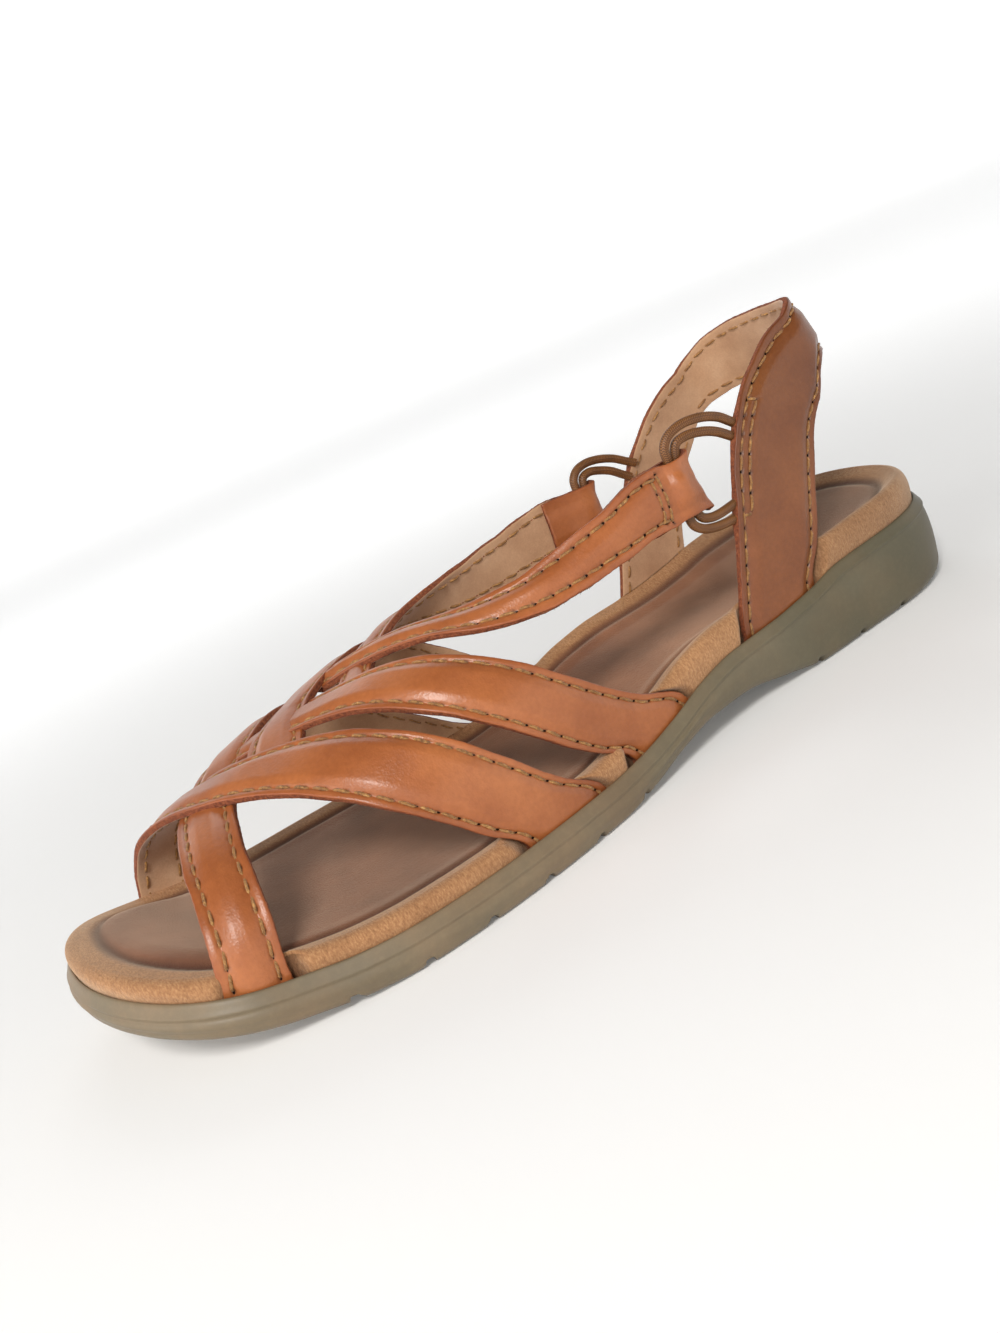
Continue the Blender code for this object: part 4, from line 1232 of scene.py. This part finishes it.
def make_back_strap(finishes, thread):
    """The band round the heel: a row of stitches along each edge, and short second rows at the cords."""
    ribbon = Ribbon("back", BACK_STRAP_ROWS, 0)
    t = ribbon.even(ROW_STEP)
    rows = [StitchRow(ribbon, edge, STITCH_INSET, 0.0, 1.0) for edge in (0, 1)]
    _, y, z = rows[0].base.T
    extra = []
    for side, low, high in SECOND_ROWS:
        where = rows[0].t[(y * side > 0) & (z > low) & (z < high)]
        extra.append(StitchRow(ribbon, 0, STITCH_INSET + SECOND_ROW, where.min(), where.max()))
    top, bottom, out, values = strap_faces(ribbon, t, rows + extra, BACK_FULLNESS, 71)
    # Painted shade on the back strap: darker all over, darker still from 30 to 55 mm up, and slowly
    # mottled along it.
    values["painted_shade"] = 0.62 + 0.12 * wander(t, 0.3, 5)[:, None] + 0.30 * smoothstep(top[..., 2], 30, 55)
    ends = [route[k] for route in CORD_ROUTES.values() for k in (0, -1)]
    swell = out * (0.5 * cord_bulge(top, ends, 4.0))[..., None]
    top, bottom = top + swell, bottom - swell
    piece = shell("back_strap_leather", top, bottom, finishes, values, 71)
    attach(piece, "root")
    runs = both_faces(rows, BACK_FULLNESS)
    height = groove_height(STITCH_INSET + SECOND_ROW, BACK_FULLNESS)
    step = np.linspace(0, 1, 12)[:, None]
    for row in extra:
        second, facing, holes, plies = row_run(row, height)
        runs.append((second, facing, holes, plies))
        for end in (0, -1):
            start = read_along(runs[0][0], rows[0].t, row.t[[end]])[0]
            link = start * (1 - step) + second[end] * step + facing[end] * 0.25 * np.sin(math.pi * step)
            ends_at = np.array([0.0, lengths(link)[-1]])
            runs.append((link, np.repeat(facing[[end]], len(step), axis=0), ends_at, plies))
    threads = sew("back_strap_thread", runs, thread, 72)
    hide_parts("back_strap")


def make_upper(finishes, thread):
    """The straps that cross over the foot."""
    pieces = []
    forefoot = (
        ("rear_strap_medial", REAR_STRAP_MEDIAL, 1, REAR_STRAP_END),
        ("rear_strap_lateral", REAR_STRAP_LATERAL, -1, REAR_STRAP_END),
        ("front_strap_medial", FRONT_STRAP_MEDIAL, 1, FRONT_STRAP_MEDIAL[-1][0]),
        ("front_strap_lateral", FRONT_STRAP_LATERAL, -1, FRONT_STRAP_LATERAL[-1][0]),
    )
    for number, (name, table, side, end) in enumerate(forefoot):
        pieces += make_forefoot_strap(name, table, side, end, finishes, thread, 10 + number)
    instep = (("instep_strap_medial", INSTEP_MEDIAL, 1), ("instep_strap_lateral", INSTEP_LATERAL, -1))
    for number, (name, table, side) in enumerate(instep):
        pieces += make_instep_strap(name, table, side, finishes, thread, 30 + number)
    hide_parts("upper")


# ------------------------------------------------------------------ elastic

def make_elastic(name, route, finish):
    """A braided round cord, with rows of slanting strands that meet in a herringbone."""
    route = np.array(route)
    first = route[0] - unit(route[1] - route[0]) * CORD_ENTRY
    final = route[-1] + unit(route[-1] - route[-2]) * CORD_ENTRY
    route = np.concatenate([[first], route, [final]])
    for k, shift in enumerate(CORD_SHIFTS):
        route[[k, -1 - k], 1] -= shift * np.sign(route[1, 1])
    line = smooth_at(route, np.linspace(0, 1, 200))
    run = lengths(line)
    x = np.arange(0, run[-1], CORD_STEP)
    path = read_along(line, run, x)
    turn = full_turn(CORD_SIDES)[None, :]
    zigzag = np.abs((turn * BRAID_COLUMNS / math.pi) % 2 - 1)
    weave = 0.5 + 0.5 * np.cos(2 * math.pi * (x[:, None] / BRAID_PITCH + 0.9 * zigzag))
    seam = 0.5 + 0.5 * np.cos(2 * BRAID_COLUMNS * turn)
    weave = weave * (1 - 0.5 * seam ** 4)
    radius = CORD / 2 - 0.08 + 0.10 * weave
    points, faces = tubes([path], [radius], CORD_SIDES)
    # strand is the braid's height, which the finish turns into painted shade and highlight.
    piece = mesh_piece("elastic_" + name + "_braid", points, faces, [finish], values={"strand": weave})
    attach(piece, "root")
    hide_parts("elastic_" + name)


# ------------------------------------------------------------------ sole and footbed

def sole_loop():
    """The sole's outline as the sole and the footbed use it."""
    return relax_loop(even_loop(OUTLINE, SOLE_POINTS), 12)


def ring_at(loop, inset, height):
    """A loop moved inwards by inset, as points at a height."""
    flat = inset_loop(loop, inset)
    return np.concatenate([flat, np.reshape(height, (-1, 1)) * np.ones((len(loop), 1))], axis=1)


def stacked(rings):
    """Points and faces of a wall of stacked rings."""
    faces = [tuple(face) for face in grid_faces(len(rings), len(rings[0]))]
    return np.concatenate(rings), faces


def cap(points, faces, start, count, columns, height):
    """Closes a ring across the sole with a grid of columns, at height(s, y, z)."""
    half = count // 2
    left = start + np.arange(0, half + 1)
    right = start + (count - np.arange(0, half + 1)) % count
    index = np.zeros((half + 1, columns + 1), dtype=int)
    index[:, 0], index[:, -1] = left, right
    fresh = []
    total = len(points)
    for i in range(half + 1):
        for j in range(1, columns):
            if i in (0, half):
                index[i, j] = left[i]
                continue
            share = j / columns
            p = points[left[i]] * (1 - share) + points[right[i]] * share
            fresh.append((p[0], p[1], height(*p)))
            index[i, j] = total
            total += 1
    for i in range(half):
        for j in range(columns):
            face = (index[i, j], index[i, j + 1], index[i + 1, j + 1], index[i + 1, j])
            faces.append(tuple(dict.fromkeys(face)))
    return np.concatenate([points, np.array(fresh)]), [f for f in faces if len(f) > 2]


def groove_cut(s):
    """Depth of the tread's grooves at stations s."""
    near = np.min(np.abs(np.asarray(s)[..., None] - np.array(TREAD_GROOVES, float)), axis=-1)
    return GROOVE_DEPTH * (1 - smoothstep(near, GROOVE_WIDTH / 2 - 0.25, GROOVE_WIDTH / 2 + 0.25))


def sole_profile(s):
    """The sole's rings as (inset, height), from under its edge, up its side, over the lip and
    down into the recess."""
    ground, lip, edge = sole("ground", s), sole("lip", s), sole("edge", s)
    wall = lip - ground
    profile = []
    for inset in (9.0, 6.0, 3.0, 1.0):
        profile.append((edge + inset, ground))
    for i in range(9):
        turn = math.radians(90 * i / 8)
        profile.append((edge * (1 - math.sin(turn)), ground + edge * (1 - math.cos(turn))))
    for share in np.linspace(0.08, 1, 12):
        belly = -0.45 * math.sin(math.pi * share * 0.9)
        height = ground + edge + (wall - edge - LIP_PROFILE[0][1] - 0.4) * share
        profile.append((0 * s + belly + 0.32 * share ** 3, height))
    for inset, below in LIP_PROFILE:
        profile.append((0 * s + inset, lip - below))
    floor = recess_floor(s)
    profile.append((0 * s + LIP_WIDTH, floor))
    profile.append((0 * s + LIP_WIDTH + 9.0, floor))
    return profile


def make_outsole(finish):
    """The rubber unit."""
    loop = sole_loop()
    s = loop[:, 0]
    lowest = sole("ground", s) + groove_cut(s)
    rings = [ring_at(loop, inset, np.maximum(height, lowest)) for inset, height in sole_profile(s)]
    points, faces = stacked(rings)

    def tread(x, y, _):
        wave = 1.6 * math.sin(y * 0.42)
        sipe = 0.45 * max(0.0, math.cos(2 * math.pi * (x + wave) / 4.0)) ** 6
        return float(sole("ground", x)) + max(float(groove_cut(x)), sipe)

    points, faces = cap(points, faces, 0, len(loop), 26, tread)
    points, faces = cap(points, faces, (len(rings) - 1) * len(loop), len(loop), 2, lambda x, y, z: z)
    piece = mesh_piece("sole_unit", points, faces, [finish])
    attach(piece, "root")
    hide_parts("outsole")


def strap_spans(side):
    """The straps that sit in the sole on one side: each as (heights, rear edge, front edge)."""
    spans = []
    ribbon = Ribbon("back", BACK_STRAP_ROWS, 0)
    t = np.linspace(0, 0.25, 60) if side < 0 else np.linspace(1, 0.75, 60)
    grid, _ = ribbon.at(t, [[0.0, 1.0]])
    spans.append((grid[:, 0, 2], grid[:, 1, 0], grid[:, 0, 0]))
    for table, strap_side in ((REAR_STRAP_LATERAL, -1), (REAR_STRAP_MEDIAL, 1),
                              (FRONT_STRAP_LATERAL, -1), (FRONT_STRAP_MEDIAL, 1)):
        ribbon = Ribbon("across", table, strap_side)
        if strap_side == side:
            t = np.linspace(0, 0.4, 60)
        elif table[-1][0] > 180:
            t = np.linspace(1, 0.8, 60)
        else:
            continue
        grid, _ = ribbon.at(t, [[0.0, 1.0]])
        spans.append((grid[:, 0, 2], grid[:, 0, 0], grid[:, 1, 0]))
    return spans


def bowl_depth(s, y):
    """How far the footbed's middle is hollowed below the foot of its rim's slope."""
    lateral, medial = sole("lateral", s), sole("medial", s)
    across = (y - (medial - lateral) / 2) / (medial + lateral) * 2
    ends = smoothstep(s, 4.0, 40.0) * (1 - smoothstep(s, 200.0, 252.0))
    return BOWL * sole("dish", s) * ends * np.clip(1 - across ** 2, 0, 1)


def evened_level(s, height):
    """Heights at rising stations s, evened out along the sole: stations and heights."""
    step = 0.5
    steps = np.arange(-3 * EVENING, LENGTH + 3 * EVENING, step)
    spread = bell(np.arange(-2 * EVENING, 2 * EVENING + step, step), EVENING)
    return steps, np.convolve(np.interp(steps, s, height), spread / spread.sum(), mode="same")


def footbed_profile(loop):
    """The footbed's rings as (insets, heights), from under its edge, up and over its rim and in
    towards the middle; and the level of the middle along the sole."""
    s = loop[:, 0]
    lip, rise, dish = sole("lip", s), sole("rise", s), sole("dish", s)
    floor = recess_floor(s) + FIT
    rim = lip + rise
    keys = [
        (9.0, floor), (0.0, floor), (0.0, lip - 0.3), (-0.1, lip + 0.4), (-0.24, lip + 0.28 * rise),
        (-0.26, lip + 0.50 * rise), (-0.02, lip + 0.70 * rise), (0.5, lip + 0.86 * rise),
        (1.3, lip + 0.965 * rise), (2.4, rim),
    ]
    table = np.array([[np.full(len(s), inset), height] for inset, height in keys])
    flat = table[1:].reshape(len(keys) - 1, -1)
    outside = smooth_at(flat, np.linspace(0, 1, 36)).reshape(-1, 2, len(s))
    half = len(loop) // 2
    innermost = inset_loop(loop, FOOTBED_EDGE + INNER_INSET)
    level = evened_level(innermost[:half, 0], (rim - RIM_SLOPE * dish)[:half])
    inside = []
    for inset in np.arange(2.8, INNER_INSET + 0.2, 0.42):
        slope = RIM_SLOPE * dish * smoothstep(inset, 1.2, 9.0)
        groove = 0.75 * bell(inset - GROOVE_INSET, 1.35)
        x, y = inset_loop(loop, FOOTBED_EDGE + inset).T
        bowl = bowl_depth(x, y) * smoothstep(inset, 6.0, 14.0)
        share = smoothstep(inset, 7.0, INNER_INSET)
        height = (rim - slope) * (1 - share) + np.interp(x, *level) * share
        inside.append([np.full(len(s), inset), height - groove - bowl])
    return np.concatenate([table[:1], outside, np.array(inside)]), level


def strap_push(loop, height, spans):
    """Where the straps press into the footbed's edge: 0 clear of them, 1 behind them. spans are
    the straps that sit on each side."""
    s, y = loop.T
    push = np.zeros(len(s))
    for side, straps in spans.items():
        for heights, rear, front in straps:
            order = np.argsort(heights)
            low = np.interp(height, heights[order], rear[order])
            high = np.interp(height, heights[order], front[order])
            seated = smoothstep(s, low - 3.4, low + 0.2) * (1 - smoothstep(s, high - 0.2, high + 3.4))
            push = np.maximum(push, seated * (y * side > 0))
    return push


def make_footbed(finish):
    """The footbed: its edge is pressed in behind each strap."""
    loop = sole_loop()
    top = sole("lip", loop[:, 0]) + sole("rise", loop[:, 0]) + 1
    need = STRAP_SEAT + 0.12 - FOOTBED_EDGE
    spans = {side: strap_spans(side) for side in (-1, 1)}
    profile, level = footbed_profile(loop)
    rings, rim_mark, groove_shade = [], [], []
    for inset, height in profile:
        push = strap_push(loop, height, spans)
        moved = inset + push * np.maximum(need - inset, 0) * (height < top)
        squeeze = 0.55 * push * bell(inset - need, 2.2)
        rings.append(ring_at(loop, FOOTBED_EDGE + moved, height + squeeze))
        rim_mark.append(1 - smoothstep(inset, 5.4, 7.4))
        # Painted shade: dark along the groove, and along the edge where a strap presses in.
        groove_shade.append(0.8 * bell(inset - GROOVE_INSET, 1.3) + 0.7 * push * (inset < 0.6))
    points, faces = stacked(rings)
    marks = {"rim": np.concatenate(rim_mark), "groove": np.concatenate(groove_shade)}
    count = len(points)

    def dished(x, y, _):
        return float(np.interp(x, *level) - bowl_depth(x, y))

    points, faces = cap(points, faces, (len(rings) - 1) * len(loop), len(loop), 14, dished)
    points, faces = cap(points, faces, 0, len(loop), 2, lambda x, y, z: z)
    for key in marks:
        marks[key] = np.concatenate([marks[key], np.zeros(len(points) - count)])
    piece = mesh_piece("footbed_suede", points, faces, [finish], values=marks)
    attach(piece, "root")
    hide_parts("footbed")


# ------------------------------------------------------------------ studio

def area_light(name, place_at, size, power, colour):
    """A rectangular light that faces the sandal."""
    data = bpy.data.lights.new(name, "AREA")
    data.shape = "RECTANGLE"
    data.size, data.size_y = size
    data.energy = power
    data.color = colour
    light = bpy.data.objects.new(name, data)
    light.location = place_at
    light.rotation_euler = (LIT - Vector(place_at)).to_track_quat("-Z", "Y").to_euler()
    bpy.context.scene.collection.objects.link(light)


def floor_finish():
    """Pale matt paint."""
    material, tree, shader = shader_tree(
        "studio_floor_finish", Base_Color=(0.86, 0.86, 0.855, 1), Roughness=0.9,
        Specular_IOR_Level=0.1, Emission_Color=(1, 1, 1, 1))
    where = tree.nodes.new("ShaderNodeTexCoord")
    away = tree.nodes.new("ShaderNodeVectorMath")
    away.operation = "LENGTH"
    tree.links.new(where.outputs["Object"], away.inputs[0])
    glow = tree.nodes.new("ShaderNodeMapRange")
    for label, value in FLOOR_GLOW.items():
        glow.inputs[label].default_value = value
    glow.interpolation_type = "SMOOTHSTEP"
    tree.links.new(away.outputs["Value"], glow.inputs["Value"])
    wire(tree, shader, Emission_Strength=glow.outputs["Result"])
    return material


def make_floor(finish):
    """A pale floor that curves up into a backdrop."""
    rings = [(0.0, 0.0), (0.4, 0.0), (0.9, 0.0), (FLOOR_RADIUS, 0.0)]
    for i in range(1, 13):
        turn = math.radians(90 * i / 12)
        rings.append((FLOOR_RADIUS + FLOOR_BEND * math.sin(turn), FLOOR_BEND * (1 - math.cos(turn))))
    rings.append((FLOOR_RADIUS + FLOOR_BEND, BACKDROP_HEIGHT))
    points = [(r * math.cos(a), r * math.sin(a), z) for r, z in rings for a in full_turn(FLOOR_SIDES)]
    faces = [tuple(int(k) for k in face) for face in grid_faces(len(rings), FLOOR_SIDES)]
    mesh = bpy.data.meshes.new("studio_floor")
    mesh.from_pydata(points, [], faces)
    mesh.materials.append(finish)
    mesh.shade_smooth()
    stage = bpy.data.objects.new("studio_floor", mesh)
    bpy.context.scene.collection.objects.link(stage)


def make_lights():
    """A dim sky and soft area lights."""
    world = bpy.data.worlds.new("studio")
    world.use_nodes = True
    sky = world.node_tree.nodes["Background"].inputs
    sky["Color"].default_value = (0.95, 0.97, 1.0, 1)
    sky["Strength"].default_value = 0.10
    bpy.context.scene.world = world
    for light in LIGHTS:
        area_light(*light)


def make_camera():
    data = bpy.data.cameras.new("camera")
    data.lens = LENS
    data.sensor_width = 36.0
    data.sensor_fit = "HORIZONTAL"
    data.clip_start = 0.01
    camera = bpy.data.objects.new("camera", data)
    turn = Matrix((VIEW_RIGHT, VIEW_UP, VIEW_BACK)).transposed().to_4x4()
    camera.matrix_world = Matrix.Translation(VIEW_TARGET + VIEW_BACK * VIEW_DISTANCE) @ turn
    bpy.context.scene.collection.objects.link(camera)
    bpy.context.scene.camera = camera


def main():
    bpy.context.scene.view_settings.view_transform = "Standard"
    make_camera()
    make_floor(floor_finish())
    make_lights()
    finishes = (tan_leather(), cut_edge(), lining())
    thread = (thread_finish(), needle_hole())
    make_outsole(sole_rubber())
    make_footbed(footbed_suede())
    make_upper(finishes, thread)
    make_back_strap(finishes, thread)
    braid = elastic_finish()
    for name, route in CORD_ROUTES.items():
        make_elastic(name, route, braid)


main()
